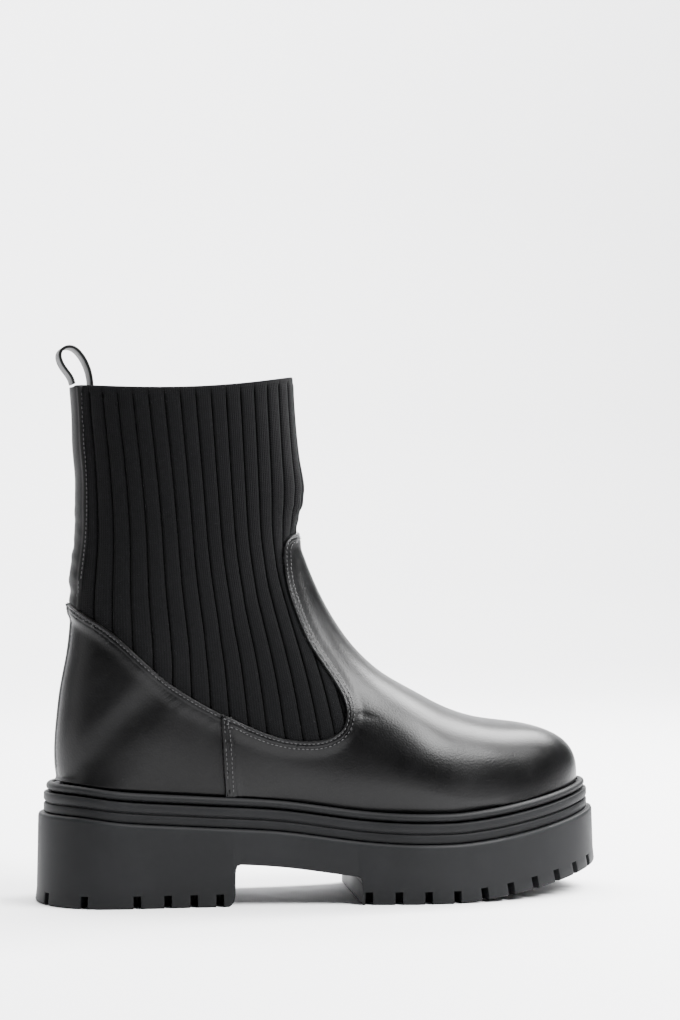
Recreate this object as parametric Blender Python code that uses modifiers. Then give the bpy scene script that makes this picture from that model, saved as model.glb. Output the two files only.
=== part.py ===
"""Right-foot knit chelsea boot on a lugged platform sole.

The boot stands on the floor with its toe along +X and its outer side along -Y. Sizes are in metres.
Everything is modelled with the heel's rearmost point at x = 0, and the empty "boot" centres it.
"""

import math

import bmesh
import bpy
import numpy as np
from mathutils import Vector

# Driving sizes of the sole
SOLE_LENGTH = 0.288
BALL_WIDTH = 0.108
HEEL_WIDTH = 0.078
HEEL_HEIGHT = 0.0590
BALL_HEIGHT = 0.0437
TOE_SPRING = 0.014
SHANK_THICKNESS = 0.0170
WALL_FLARE = 0.0014
LUG_DEPTH = 0.0062
LUG_GAP = 0.0038
LUG_REACH = 0.012

# Driving sizes of the stepped side between outsole and upper
MIDSOLE_HEIGHT = 0.0105
WELT_HEIGHT = 0.0045
LOWER_BAND_SHARE = 0.50
BAND_GROOVE = 0.0008
GROOVE_DEPTH = 0.0014
MIDSOLE_INSET = 0.0040
WELT_INSET = 0.0052
UPPER_INSET = 0.0092
WELT_SEAT = 0.0012
WELT_LIP = 0.0030
WELT_ROUND = 0.0012
SEAT_CLEAR = 0.0008

# Driving sizes of the upper
UPPER_HEIGHT = 0.198
SHAFT_WIDTH = 0.061
RIM_SAG = 0.0040
LINING_WALL = 0.0013
COUNTER_LEATHER = 0.0013
VAMP_LEATHER = 0.0018
FEATHER_LIP = 0.0008
INSOLE_THICKNESS = 0.0035
INSOLE_CLEAR = 0.0012
KNIT_WALL = 0.0012
RIB_COUNT = 36
RIB_GROOVE = 0.0008
RIM_BAND = 0.0028
STAY_WIDTH = 0.020
STAY_LEATHER = 0.0012
STAY_DROP = 0.0010
LOOP_WIDTH = 0.018
LOOP_STRAP = 0.0015
LOOP_RISE = 0.0185

GAP = 0.0003
KNIT_GAP = 0.0011
EDGE_GAP = 0.0008

# How finely the surfaces are divided
SOLE_STATIONS = 30
SECTION_COLUMNS = 11
TOE_ROWS = 4
KNIT_ROWS = 9
LOOP_STEPS = 18

# Plan of the outsole, one row per station. The half widths are shares of a width that
# goes over from HEEL_WIDTH (heel = 1) to BALL_WIDTH (heel = 0).
PLAN = [
    # along, heel, outer, inner
    (0.00, 1.00, 0.500, 0.500),
    (0.14, 1.00, 0.500, 0.496),
    (0.25, 1.00, 0.512, 0.490),
    (0.35, 0.75, 0.482, 0.430),
    (0.45, 0.50, 0.470, 0.385),
    (0.55, 0.25, 0.482, 0.398),
    (0.64, 0.00, 0.493, 0.444),
    (0.73, 0.00, 0.489, 0.488),
    (0.82, 0.00, 0.454, 0.486),
    (0.91, 0.00, 0.424, 0.474),
    (1.00, 0.00, 0.400, 0.450),
]
HEEL_ROUND = 0.14
TOE_ROUND = 0.25
HEEL_POWER = 2.2
TOE_POWER = 2.35
TOE_SWING = 0.007
TOE_SWING_POWER = 6

# Top line of the sole from heel to ball, as the share of the drop that is left
SEAT_DROP = [
    # along, left
    (0.00, 1.00),
    (0.06, 0.99),
    (0.11, 0.87),
    (0.21, 0.71),
    (0.31, 0.59),
    (0.41, 0.45),
    (0.525, 0.15),
    (0.625, 0.01),
    (0.70, 0.00),
    (1.00, 0.00),
]
SPRING_START = 0.695
SPRING_POWER = 1.5

# Space under the arch, from the heel's front face to the tread's back face. Rise is a share of
# the height of the shank's underside. The tread starts further forward on the inner side.
ARCH = [
    # outer_along, inner_along, rise
    (0.306, 0.306, -0.05),
    (0.316, 0.316, 0.04),
    (0.322, 0.322, 0.20),
    (0.324, 0.324, 0.80),
    (0.330, 0.330, 0.94),
    (0.342, 0.342, 1.00),
    (0.400, 0.410, 1.00),
    (0.460, 0.480, 1.00),
    (0.515, 0.550, 1.00),
    (0.526, 0.566, 0.90),
    (0.531, 0.573, 0.70),
    (0.532, 0.574, -0.05),
]

# Lug gaps round the edge of the tread: shares of SOLE_LENGTH at the heel, and a first place
# and an even pitch along the outline in front
HEEL_GAPS = [0.012, 0.069, 0.157, 0.209, 0.253, 0.297]
FORE_GAP_FIRST = 0.5980
FORE_GAP_PITCH = 0.0147

# Sections of the last from the toe box back to the heel and up to the collar. Each is a straight
# line in the side view, from a low point on the bottom or back line to a top point on the
# front line. Along is a share of SOLE_LENGTH, up is a share of UPPER_HEIGHT above the sole's top.
# The half width is foot times the bottom's own half width, plus shaft times half of SHAFT_WIDTH.
# Widest is how far up the line that width lies, and power is 2 for an ellipse, more for a squarer one.
SECTIONS = [
    # top_along, top_up, low_along, low_up, foot, shaft, widest, power
    (0.8056, 0.1880, 0.8056, 0.0000, 1.00, 0.00, 0.00, 2.45),
    (0.7300, 0.2280, 0.7300, 0.0000, 1.06, 0.00, 0.15, 2.30),
    (0.6520, 0.2890, 0.6520, 0.0000, 1.09, 0.00, 0.21, 2.15),
    (0.5970, 0.3350, 0.5730, 0.0000, 1.11, 0.00, 0.25, 2.05),
    (0.5490, 0.3940, 0.4860, 0.0000, 1.12, 0.00, 0.27, 2.00),
    (0.5140, 0.4580, 0.3920, 0.0000, 1.11, 0.00, 0.30, 2.00),
    (0.4880, 0.5200, 0.2950, 0.0000, 1.08, 0.00, 0.30, 2.00),
    (0.4700, 0.5730, 0.2010, 0.0000, 1.07, 0.00, 0.29, 2.00),
    (0.4610, 0.6050, 0.1180, 0.0000, 1.07, 0.00, 0.28, 2.00),
    (0.4535, 0.6350, 0.0660, 0.0000, 1.05, 0.00, 0.27, 2.00),
    (0.4475, 0.6630, 0.0450, 0.0000, 1.03, 0.02, 0.27, 2.00),
    (0.4445, 0.6820, 0.0440, 0.0900, 0.72, 0.28, 0.32, 2.05),
    (0.4448, 0.7000, 0.0500, 0.2040, 0.42, 0.52, 0.38, 2.10),
    (0.4475, 0.7210, 0.0640, 0.3420, 0.17, 0.72, 0.43, 2.15),
    (0.4500, 0.7480, 0.0720, 0.4730, 0.04, 0.84, 0.46, 2.20),
    (0.4515, 0.7840, 0.0805, 0.6010, 0.00, 0.90, 0.48, 2.20),
    (0.4495, 0.8350, 0.0830, 0.7200, 0.00, 0.94, 0.49, 2.20),
    (0.4435, 0.9050, 0.0800, 0.8280, 0.00, 0.97, 0.50, 2.20),
    (0.4395, 0.9780, 0.0770, 0.9160, 0.00, 0.99, 0.50, 2.20),
    (0.4375, 1.0620, 0.0750, 0.9920, 0.00, 1.00, 0.50, 2.20),
]
HEEL_CORNER = 10
HEEL_ROWS = [8.0, 8.8, 9.5]
LEATHER_END = 15
WIDTH_FROM = 0.14

# Edge of the leather round the knit in the side view: from the back of the heel down to the side
# seam, then round the bottom of the gore and up to the tab on the instep. Shares as in SECTIONS.
COUNTER_EDGE = [
    # along, up
    (0.030, 0.475),
    (0.056, 0.463),
    (0.072, 0.437),
    (0.106, 0.403),
    (0.148, 0.356),
    (0.199, 0.290),
    (0.251, 0.241),
    (0.301, 0.205),
]
VAMP_EDGE = [
    # along, up
    (0.301, 0.205),
    (0.328, 0.190),
    (0.360, 0.172),
    (0.403, 0.155),
    (0.447, 0.154),
    (0.482, 0.166),
    (0.508, 0.195),
    (0.516, 0.238),
    (0.504, 0.288),
    (0.482, 0.336),
    (0.456, 0.392),
    (0.433, 0.470),
    (0.421, 0.530),
    (0.4155, 0.600),
    (0.4170, 0.632),
    (0.4270, 0.655),
    (0.4450, 0.664),
    (0.4700, 0.667),
]
SEAM_FOOT = 0.313

# Lines of the side view that the ribs run between, and how low the knit reaches behind the
# leather. Under the tab the front rib leaves the front line.
RIB_FRONT = [
    # up, along
    (0.150, 0.5450),
    (0.300, 0.5200),
    (0.450, 0.4880),
    (0.580, 0.4580),
    (0.640, 0.4460),
    (0.682, 0.4440),
    (0.700, 0.4448),
    (0.721, 0.4475),
    (0.748, 0.4500),
    (0.784, 0.4515),
    (0.835, 0.4495),
    (0.905, 0.4435),
    (0.978, 0.4395),
    (1.062, 0.4375),
]
RIB_REACH = [
    # share, up
    (0.00, 0.400),
    (0.05, 0.370),
    (0.15, 0.310),
    (0.30, 0.235),
    (0.50, 0.150),
    (0.70, 0.112),
    (0.90, 0.112),
    (0.96, 0.150),
    (1.00, 0.450),
]
RIB_SWAY = 0.0085
RIB_SWAY_PEAK = 6.75
RIB_FLAT = (0.0, 0.24, 0.76)

# Centre line of the pull loop in the side view, from the stay's top over and down inside the
# collar. Back is metres behind the collar's back point, rise is a share of LOOP_RISE above it.
LOOP_PATH = [
    # back, rise
    (0.0031, 0.020),
    (0.0038, 0.150),
    (0.0066, 0.380),
    (0.0094, 0.640),
    (0.0096, 0.860),
    (0.0070, 0.990),
    (0.0034, 0.990),
    (-0.0002, 0.840),
    (-0.0034, 0.560),
    (-0.0052, 0.260),
    (-0.0058, 0.000),
    (-0.0060, -0.300),
    (-0.0064, -0.640),
]

RUBBER = ("sole_rubber", (0.040, 0.041, 0.044, 1.0), 0.62)
LEATHER = ("smooth_leather", (0.012, 0.012, 0.014, 1.0), 0.34)
KNIT = ("rib_knit", (0.016, 0.017, 0.018, 1.0), 0.90)
LINING = ("lining_cloth", (0.020, 0.020, 0.021, 1.0), 0.85)


def spline(xs, ys):
    """Natural cubic curve through the points, as a function that takes numbers or arrays."""
    xs = np.asarray(xs, float)
    ys = np.asarray(ys, float)
    count = len(xs)
    h = np.diff(xs)
    matrix = np.eye(count)
    right = np.zeros(count)
    for i in range(1, count - 1):
        matrix[i, i - 1 : i + 2] = h[i - 1], 2 * (h[i - 1] + h[i]), h[i]
        right[i] = 6 * ((ys[i + 1] - ys[i]) / h[i] - (ys[i] - ys[i - 1]) / h[i - 1])
    curve = np.linalg.solve(matrix, right)

    def value(x):
        x = np.clip(np.asarray(x, float), xs[0], xs[-1])
        i = np.clip(np.searchsorted(xs, x, side="right") - 1, 0, count - 2)
        a = (xs[i + 1] - x) / h[i]
        b = 1 - a
        bend = ((a**3 - a) * curve[i] + (b**3 - b) * curve[i + 1]) * h[i] ** 2 / 6
        return a * ys[i] + b * ys[i + 1] + bend

    return value


def column(table, number):
    return [row[number] for row in table]


def smooth_path(points, steps):
    """Points at even spacing on a smooth curve through the given 2D points."""
    points = np.asarray(points, float)
    chords = np.concatenate([[0], np.cumsum(np.linalg.norm(np.diff(points, axis=0), axis=1))])
    curves = [spline(chords, points[:, axis]) for axis in range(2)]
    return [tuple(float(curve(at)) for curve in curves) for at in np.linspace(0, chords[-1], steps)]


# Outline and height lines of the sole

plan_heel = spline(column(PLAN, 0), column(PLAN, 1))
plan_outer = spline(column(PLAN, 0), column(PLAN, 2))
plan_inner = spline(column(PLAN, 0), column(PLAN, 3))
seat_drop = spline(column(SEAT_DROP, 0), column(SEAT_DROP, 1))


def toe_lift(x):
    """How far toe spring raises the sole at x."""
    past = np.clip((np.asarray(x) / SOLE_LENGTH - SPRING_START) / (1 - SPRING_START), 0, 1)
    return TOE_SPRING * past**SPRING_POWER


def seat(x):
    """Height of the sole's top edge at x."""
    drop = (HEEL_HEIGHT - BALL_HEIGHT) * seat_drop(np.asarray(x) / SOLE_LENGTH)
    return BALL_HEIGHT + drop + toe_lift(x)


def ledge(x):
    """Height of the outsole's top at x."""
    return seat(x) - MIDSOLE_HEIGHT - WELT_HEIGHT


def plan_point(turn):
    """Point of the outsole's outline. Turn 0 is the heel's end, and pi the toe's by the outer side."""
    share = (1 - math.cos(turn)) / 2
    heel = float(plan_heel(share))
    width = heel * HEEL_WIDTH + (1 - heel) * BALL_WIDTH
    outer = turn % (2 * math.pi) <= math.pi
    half = width * float((plan_outer if outer else plan_inner)(share))
    if share < HEEL_ROUND:
        half *= math.sqrt(max(0.0, 1 - (1 - share / HEEL_ROUND) ** HEEL_POWER))
    if share > 1 - TOE_ROUND:
        half *= math.sqrt(max(0.0, 1 - ((share - 1 + TOE_ROUND) / TOE_ROUND) ** TOE_POWER))
    middle = TOE_SWING * share**TOE_SWING_POWER
    return SOLE_LENGTH * share, middle - half if outer else middle + half


def outline_point(turn, inset):
    """Outline point moved inwards by inset."""
    step = 0.002
    x0, y0 = plan_point(turn - step)
    x1, y1 = plan_point(turn + step)
    x, y = plan_point(turn)
    length = math.hypot(x1 - x0, y1 - y0)
    return x - (y1 - y0) / length * inset, y + (x1 - x0) / length * inset


def outline_ring(inset, stations=SOLE_STATIONS):
    """Closed outline, out along the outer side and back along the inner side."""
    return [outline_point(math.pi * i / stations, inset) for i in range(2 * stations)]


def side_widths(inset):
    """Half widths of an inset outline as functions of x, for the outer and inner side, and its ends."""
    fine = 400
    ring = np.array(outline_ring(inset, fine))
    outer = ring[: fine + 1]
    inner = np.vstack([ring[:1], ring[: fine - 1 : -1]])
    return (
        lambda x: -np.interp(x, outer[:, 0], outer[:, 1], left=0, right=0),
        lambda x: np.interp(x, inner[:, 0], inner[:, 1], left=0, right=0),
        float(outer[0, 0]),
        float(outer[-1, 0]),
    )


PLAN_RING = np.array(outline_ring(0))
CENTRE = (SOLE_LENGTH / 2, float(PLAN_RING[:, 1].min() + PLAN_RING[:, 1].max()) / 2)

# Surface of the last, which is the outside of the lining

LAST_INSET = UPPER_INSET + VAMP_LEATHER + GAP
LAST_DROP = WELT_SEAT - GAP - FEATHER_LIP
feather_outer, feather_inner, LAST_HEEL, LAST_TOE = side_widths(LAST_INSET)

numbers = np.arange(len(SECTIONS))
top_along = spline(numbers, column(SECTIONS, 0))
top_up = spline(numbers, column(SECTIONS, 1))
foot_share = spline(numbers, column(SECTIONS, 4))
shaft_share = spline(numbers, column(SECTIONS, 5))
widest_at = spline(numbers, column(SECTIONS, 6))
arch_power = spline(numbers, column(SECTIONS, 7))
bottom_along = spline(numbers[: HEEL_CORNER + 1], column(SECTIONS, 2)[: HEEL_CORNER + 1])
back_along = spline(numbers[HEEL_CORNER:], column(SECTIONS, 2)[HEEL_CORNER:])
back_up = spline(numbers[HEEL_CORNER:], column(SECTIONS, 3)[HEEL_CORNER:])
HEEL_SHARE = SECTIONS[HEEL_CORNER][2]


def side_point(along, up):
    """Point of the side view, from shares of the sole's length and the upper's height."""
    x = along * SOLE_LENGTH
    return x, float(seat(x)) + up * UPPER_HEIGHT


def section_ends(row):
    """Low point and top point of a section line, in the side view."""
    top = side_point(float(top_along(row)), float(top_up(row)))
    if row > HEEL_CORNER:
        along = float(back_along(row))
        up = float(back_up(row))
    else:
        along = float(bottom_along(row))
        up = 0.0
    # The tables are drawn for a heel end at HEEL_SHARE, and the sole's own insets decide where it is
    shift = LAST_HEEL - HEEL_SHARE * SOLE_LENGTH
    near = max(0.0, 1 - abs(along - HEEL_SHARE) / HEEL_SHARE)
    low_x, low_z = side_point(along + shift * near / SOLE_LENGTH, up)
    return (low_x, low_z - LAST_DROP), top


def section_widths(row, low_x, outer):
    """Half width at the bottom and at the widest, for one side."""
    feather = feather_outer if outer else feather_inner
    bottom = float(feather(low_x)) if row < HEEL_CORNER else 0.0
    local = float(feather(max(low_x, WIDTH_FROM * SOLE_LENGTH)))
    widest = float(foot_share(row)) * local + float(shaft_share(row)) * SHAFT_WIDTH / 2
    return min(bottom, widest), widest


def sagged(row, share, z):
    """Height of a point after the collar's sag half way along each side."""
    near_rim = min(1.0, max(0.0, row - len(SECTIONS) + 3) / 2)
    return z - RIM_SAG * 4 * share * (1 - share) * near_rim


def section_half(row, share, outer):
    """Half width of the last at a share of the way up a section line."""
    low, _ = section_ends(row)
    bottom, widest = section_widths(row, low[0], outer)
    at = float(widest_at(row))
    power = 2 / float(arch_power(row))
    if share >= at:
        rise = min(1.0, (share - at) / (1 - at)) ** (1 / power)
        return widest * math.sqrt(max(0.0, 1 - rise * rise)) ** power
    sine = (1 - share / at) * math.sqrt(1 - (bottom / widest) ** 2)
    return widest * math.sqrt(max(0.0, 1 - sine * sine))


def last_point(row, turn):
    """Point of the last on a section. Turn is -1 at the outer side's foot, 0 at the top and 1 at the inner."""
    outer = turn <= 0
    low, top = section_ends(row)
    bottom, widest = section_widths(row, low[0], outer)
    start = math.acos(bottom / widest)
    angle = math.pi / 2 - abs(turn) * (math.pi / 2 + start)
    power = 2 / float(arch_power(row))
    at = float(widest_at(row))
    if angle >= 0:
        share = at + (1 - at) * math.sin(angle) ** power
        half = widest * max(0.0, math.cos(angle)) ** power
    else:
        share = at * (1 + math.sin(angle) / max(math.sin(start), 1e-9))
        half = widest * math.cos(angle)
    if abs(turn) == 1:
        half = bottom
    x = low[0] + (top[0] - low[0]) * share
    z = low[1] + (top[1] - low[1]) * share
    return x, -half if outer else half, sagged(row, share, z)


def toe_point(step, turn):
    """Point of the toe cap. Step is 0 on the first section and 1 on the sole."""
    x0, y0, z0 = last_point(0, turn)
    width = feather_outer if turn <= 0 else feather_inner
    back = float(width(x0))
    ahead = float(width(x0 + 0.001))
    taper = (ahead - back) / 0.001
    # The sole's outline ahead of the first section, walked by the share of the arch's turn
    swing = abs(turn)
    span = LAST_TOE - x0
    x1 = x0 + span * math.cos(swing * math.pi / 2)
    half = float(width(min(x1, LAST_TOE - 1e-6)))
    middle = (float(feather_inner(LAST_TOE - 2e-4)) - float(feather_outer(LAST_TOE - 2e-4))) / 2
    if swing < 1e-9:
        y1 = middle
    else:
        y1 = -half if turn <= 0 else half
    z1 = float(seat(x1)) - LAST_DROP
    base_y = y1 - taper * (y0 / back) * (x1 - x0) if back > 0 else y1
    power = 2 / 2.3
    across = math.cos(step * math.pi / 2) ** power
    ahead_share = math.sin(step * math.pi / 2) ** power
    base_z = float(seat(x0)) - LAST_DROP
    x = x0 + (x1 - x0) * ahead_share
    y = base_y + (y0 - base_y) * across + (y1 - base_y) * ahead_share
    z = base_z + (z0 - base_z) * across + (z1 - base_z) * ahead_share**4
    return x, y, z


def locate(x, z):
    """Row and share of the section line that passes through a point of the side view."""
    def side(row):
        low, top = section_ends(row)
        return (top[0] - low[0]) * (z - low[1]) - (top[1] - low[1]) * (x - low[0])

    first, last = 0.0, len(SECTIONS) - 1.0
    sign = side(last) > 0
    for _ in range(40):
        row = (first + last) / 2
        if (side(row) > 0) == sign:
            last = row
        else:
            first = row
    low, top = section_ends(row)
    dx, dz = top[0] - low[0], top[1] - low[1]
    share = ((x - low[0]) * dx + (z - low[1]) * dz) / (dx * dx + dz * dz)
    return row, min(1.0, max(0.0, share))


# Building blocks

def make_object(name, bm, material, thickness=0.0, outward=False):
    """Scene object from a bmesh drawn with the heel's end at x = 0, thickened when asked."""
    for vertex in bm.verts:
        vertex.co.x -= CENTRE[0]
        vertex.co.y -= CENTRE[1]
    mesh = bpy.data.meshes.new(name)
    bm.to_mesh(mesh)
    bm.free()
    item = bpy.data.objects.new(name, mesh)
    pieces.objects.link(item)
    label, color, roughness = material
    surface = bpy.data.materials.new(name + "_" + label)
    surface.use_nodes = True
    shader = surface.node_tree.nodes["Principled BSDF"]
    shader.inputs["Base Color"].default_value = color
    shader.inputs["Roughness"].default_value = roughness
    mesh.materials.append(surface)
    if thickness:
        shell = item.modifiers.new("wall", "SOLIDIFY")
        shell.thickness = thickness
        shell.offset = 1 if outward else -1
        shell.use_even_offset = True
        shell.use_rim = True
    return item


def mesh_from(points, faces):
    """Mesh of the points and faces, with points that share a place joined and normals facing out."""
    bm = bmesh.new()
    verts = [bm.verts.new(point) for point in points]
    for face in faces:
        try:
            bm.faces.new([verts[i] for i in face])
        except ValueError:
            continue
    bmesh.ops.remove_doubles(bm, verts=bm.verts, dist=1e-6)
    bmesh.ops.dissolve_degenerate(bm, edges=bm.edges, dist=1e-7)
    bmesh.ops.recalc_face_normals(bm, faces=bm.faces)
    return bm


def grid_faces(rows, columns, start=0, closed=False):
    """Quads between neighbouring rows of a grid of points, counted from start."""
    faces = []
    for row in range(rows - 1):
        for col in range(columns if closed else columns - 1):
            ahead = (col + 1) % columns
            a = start + row * columns
            b = a + columns
            faces.append((a + col, a + ahead, b + ahead, b + col))
    return faces


def point_outward(bm):
    """Turn the faces of an open surface so that they look away from its middle."""
    bm.normal_update()
    middle = sum((vertex.co for vertex in bm.verts), start=Vector()) / len(bm.verts)
    outward = sum(face.normal.dot(face.calc_center_median() - middle) * face.calc_area() for face in bm.faces)
    if outward < 0:
        bmesh.ops.reverse_faces(bm, faces=bm.faces)


def push(bm, distance):
    """Move every point of a surface along its normal."""
    bm.normal_update()
    moves = [(vertex, vertex.normal * distance * min(2.0, vertex.calc_shell_factor())) for vertex in bm.verts]
    for vertex, move in moves:
        vertex.co += move


def last_surface(last_row):
    """Open surface of the last from the toe to a row, with a short upright lip round its foot."""
    turns = [i / SECTION_COLUMNS for i in range(-SECTION_COLUMNS, SECTION_COLUMNS + 1)]
    rows = [row for row in range(last_row + 1) if row < HEEL_ROWS[0]] + HEEL_ROWS
    rows += list(range(HEEL_CORNER, last_row + 1))
    points = []
    for step in range(TOE_ROWS, 0, -1):
        points += [toe_point(step / TOE_ROWS, turn) for turn in turns]
    for row in rows:
        points += [last_point(row, turn) for turn in turns]
    bm = mesh_from(points, grid_faces(TOE_ROWS + len(rows), len(turns)))
    foot = [
        edge
        for edge in bm.edges
        if edge.is_boundary and all(abs(v.co.z - float(seat(v.co.x)) + LAST_DROP) < 1e-5 for v in edge.verts)
    ]
    point_outward(bm)
    normals = {vertex.co.to_tuple(5): vertex.normal.x for vertex in bm.verts}
    lip = bmesh.ops.extrude_edge_only(bm, edges=foot)
    for vertex in lip["geom"]:
        if isinstance(vertex, bmesh.types.BMVert):
            outside = vertex.co.x + normals[vertex.co.to_tuple(5)] * (VAMP_LEATHER + GAP)
            vertex.co.z = float(seat(outside)) - WELT_SEAT + GAP
    bmesh.ops.recalc_face_normals(bm, faces=bm.faces)
    point_outward(bm)
    bmesh.ops.triangulate(bm, faces=bm.faces)
    return bm


def ring_prism(levels, stations=SOLE_STATIONS, hole=None):
    """Solid between stacked outlines. Each level is an inset and a height function. A hole is a list too."""
    count = 2 * stations
    points = []
    for inset, height in levels:
        points += [(x, y, float(height(x))) for x, y in outline_ring(inset, stations)]
    faces = grid_faces(len(levels), count, closed=True)
    if hole:
        start = len(points)
        for inset, height in hole:
            points += [(x, y, float(height(x))) for x, y in outline_ring(inset, stations)]
        faces += grid_faces(len(hole), count, start, closed=True)
        top = (len(levels) - 1) * count
        for first, second in ((0, start), (top, start + (len(hole) - 1) * count)):
            for i in range(count):
                j = (i + 1) % count
                faces.append((first + i, first + j, second + j, second + i))
    else:
        for first in (0, (len(levels) - 1) * count):
            for i in range(stations):
                a, b = first + i, first + i + 1
                c, d = first + (count - i - 1) % count, first + (count - i) % count
                faces.append((a, b, c, d) if 0 < i < stations - 1 else (a, b, d) if i else (a, b, c))
    return mesh_from(points, faces)


def side_cutter(name, outline, near=-0.09, far=0.09, far_outline=None):
    """Prism across the boot from a closed outline in the side view, kept apart as a cutter."""
    far_outline = far_outline or outline
    count = len(outline)
    points = [(x, near, z) for x, z in outline] + [(x, far, z) for x, z in far_outline]
    faces = [tuple(range(count)), tuple(range(count, 2 * count))]
    faces += [(i, (i + 1) % count, count + (i + 1) % count, count + i) for i in range(count)]
    return as_cutter(name, mesh_from(points, faces))


def as_cutter(name, bm):
    """Object in the cutter collection."""
    item = make_object(name, bm, LINING)
    pieces.objects.unlink(item)
    cutters.objects.link(item)
    item.display_type = "WIRE"
    item.hide_render = True
    return item


def boolean(item, cutter, operation):
    change = item.modifiers.new(cutter.name, "BOOLEAN")
    change.operation = operation
    change.solver = "EXACT"
    change.object = cutter


def shifted(path, distance):
    """Path moved sideways, to the left of its direction for a positive distance."""
    moved = []
    for i, (x, z) in enumerate(path):
        x0, z0 = path[max(0, i - 1)]
        x1, z1 = path[min(len(path) - 1, i + 1)]
        length = math.hypot(x1 - x0, z1 - z0)
        moved.append((x - (z1 - z0) / length * distance, z + (x1 - x0) / length * distance))
    return moved


# Start from an empty scene
for item in list(bpy.data.objects):
    bpy.data.objects.remove(item)
pieces = bpy.data.collections.new("knit_chelsea_boot")
cutters = bpy.data.collections.new("cutters")
for group in (pieces, cutters):
    bpy.context.scene.collection.children.link(group)

# Outsole: a block under the whole boot, opened under the arch and cut by the lug gaps

outsole_block = ring_prism(
    [
        (0.0, toe_lift),
        (WALL_FLARE * 0.4, lambda x: toe_lift(x) + LUG_DEPTH),
        (WALL_FLARE, lambda x: ledge(x) - WALL_FLARE * 0.5),
        (WALL_FLARE * 1.5, ledge),
    ]
)
outsole = make_object("outsole", outsole_block, RUBBER)

arch_outer = []
arch_inner = []
for outer_along, inner_along, rise in ARCH:
    for points, along in ((arch_outer, outer_along), (arch_inner, inner_along)):
        x = along * SOLE_LENGTH
        points.append((x, float(ledge(x) - SHANK_THICKNESS) * rise))
reach = BALL_WIDTH
arch = side_cutter("arch_space", arch_outer, -reach / 2, reach / 2, arch_inner)
boolean(outsole, arch, "DIFFERENCE")


def gap_turns():
    """Outline turns at the middle of each lug gap."""
    turns = []
    for share in HEEL_GAPS:
        turn = math.acos(1 - 2 * share)
        turns += [turn, 2 * math.pi - turn]
    for direction in (1, -1):
        turn = math.acos(1 - 2 * FORE_GAP_FIRST)
        while turn < math.pi:
            turns.append(turn if direction > 0 else 2 * math.pi - turn)
            walked = 0.0
            while walked < FORE_GAP_PITCH and turn < math.pi:
                x0, y0 = plan_point(direction * turn)
                turn += 0.002
                x1, y1 = plan_point(direction * turn)
                walked += math.hypot(x1 - x0, y1 - y0)
            if math.pi - turn < 0.03:
                break
    return turns


gap_points = []
gap_faces = []
for turn in gap_turns():
    outside = np.array(outline_point(turn, -0.004))
    inside = np.array(outline_point(turn, LUG_REACH))
    inward = (inside - outside) / np.linalg.norm(inside - outside)
    along = np.array((-inward[1], inward[0])) * LUG_GAP / 2
    start = len(gap_points)
    for level in (-0.004, LUG_DEPTH):
        for corner in (outside - along, outside + along, inside + along, inside - along):
            lift = float(toe_lift(corner[0])) if level > 0 else 0.0
            gap_points.append((corner[0], corner[1], level + lift))
    for face in ((0, 1, 2, 3), (4, 5, 6, 7), (0, 1, 5, 4), (1, 2, 6, 5), (2, 3, 7, 6), (3, 0, 4, 7)):
        gap_faces.append(tuple(start + i for i in face))
boolean(outsole, as_cutter("lug_gaps", mesh_from(gap_points, gap_faces)), "DIFFERENCE")

# Midsole: two bands with a groove between them and a raised core that the upper stands on

lower = MIDSOLE_HEIGHT * LOWER_BAND_SHARE
core_inset = UPPER_INSET + WELT_LIP
midsole = make_object(
    "midsole",
    ring_prism(
        [
            (MIDSOLE_INSET, lambda x: ledge(x) + GAP),
            (MIDSOLE_INSET, lambda x: ledge(x) + lower - BAND_GROOVE),
            (MIDSOLE_INSET + GROOVE_DEPTH, lambda x: ledge(x) + lower - BAND_GROOVE / 2),
            (MIDSOLE_INSET + GROOVE_DEPTH, lambda x: ledge(x) + lower + BAND_GROOVE / 2),
            (MIDSOLE_INSET, lambda x: ledge(x) + lower + BAND_GROOVE),
            (MIDSOLE_INSET, lambda x: ledge(x) + MIDSOLE_HEIGHT - BAND_GROOVE),
            (MIDSOLE_INSET + GROOVE_DEPTH, lambda x: ledge(x) + MIDSOLE_HEIGHT - GAP / 2),
            (core_inset + GAP, lambda x: ledge(x) + MIDSOLE_HEIGHT - GAP / 2),
            (core_inset + GAP, lambda x: seat(x) - WELT_SEAT),
        ]
    ),
    RUBBER,
)

# Welt: a rounded bead round the core, with a low seat inside it for the upper's edge

welt = make_object(
    "welt",
    ring_prism(
        [
            (WELT_INSET + WELT_ROUND * 0.6, lambda x: seat(x) - WELT_HEIGHT + GAP / 2),
            (WELT_INSET, lambda x: seat(x) - WELT_HEIGHT + WELT_ROUND),
            (WELT_INSET, lambda x: seat(x) - WELT_ROUND),
            (WELT_INSET + WELT_ROUND, seat),
            (UPPER_INSET - SEAT_CLEAR - WELT_ROUND, seat),
        ],
        hole=[
            (core_inset, lambda x: seat(x) - WELT_HEIGHT + GAP / 2),
            (core_inset, lambda x: seat(x) - WELT_SEAT),
            (UPPER_INSET - SEAT_CLEAR, lambda x: seat(x) - WELT_SEAT),
        ],
    ),
    RUBBER,
)

# Insole inside the upper's foot

insole_inset = LAST_INSET + LINING_WALL + INSOLE_CLEAR
insole = make_object(
    "insole",
    ring_prism(
        [
            (insole_inset, lambda x: seat(x) - WELT_SEAT + GAP),
            (insole_inset, lambda x: seat(x) - WELT_SEAT + GAP + INSOLE_THICKNESS * 0.7),
            (insole_inset + INSOLE_THICKNESS * 0.5, lambda x: seat(x) - WELT_SEAT + GAP + INSOLE_THICKNESS),
        ]
    ),
    LINING,
)

# Upper: one hollow wall from the sole to the collar

upper = make_object("upper", last_surface(len(SECTIONS) - 1), LINING, LINING_WALL)

# Leather over it, cut from the same surface along its edge in the side view

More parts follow.
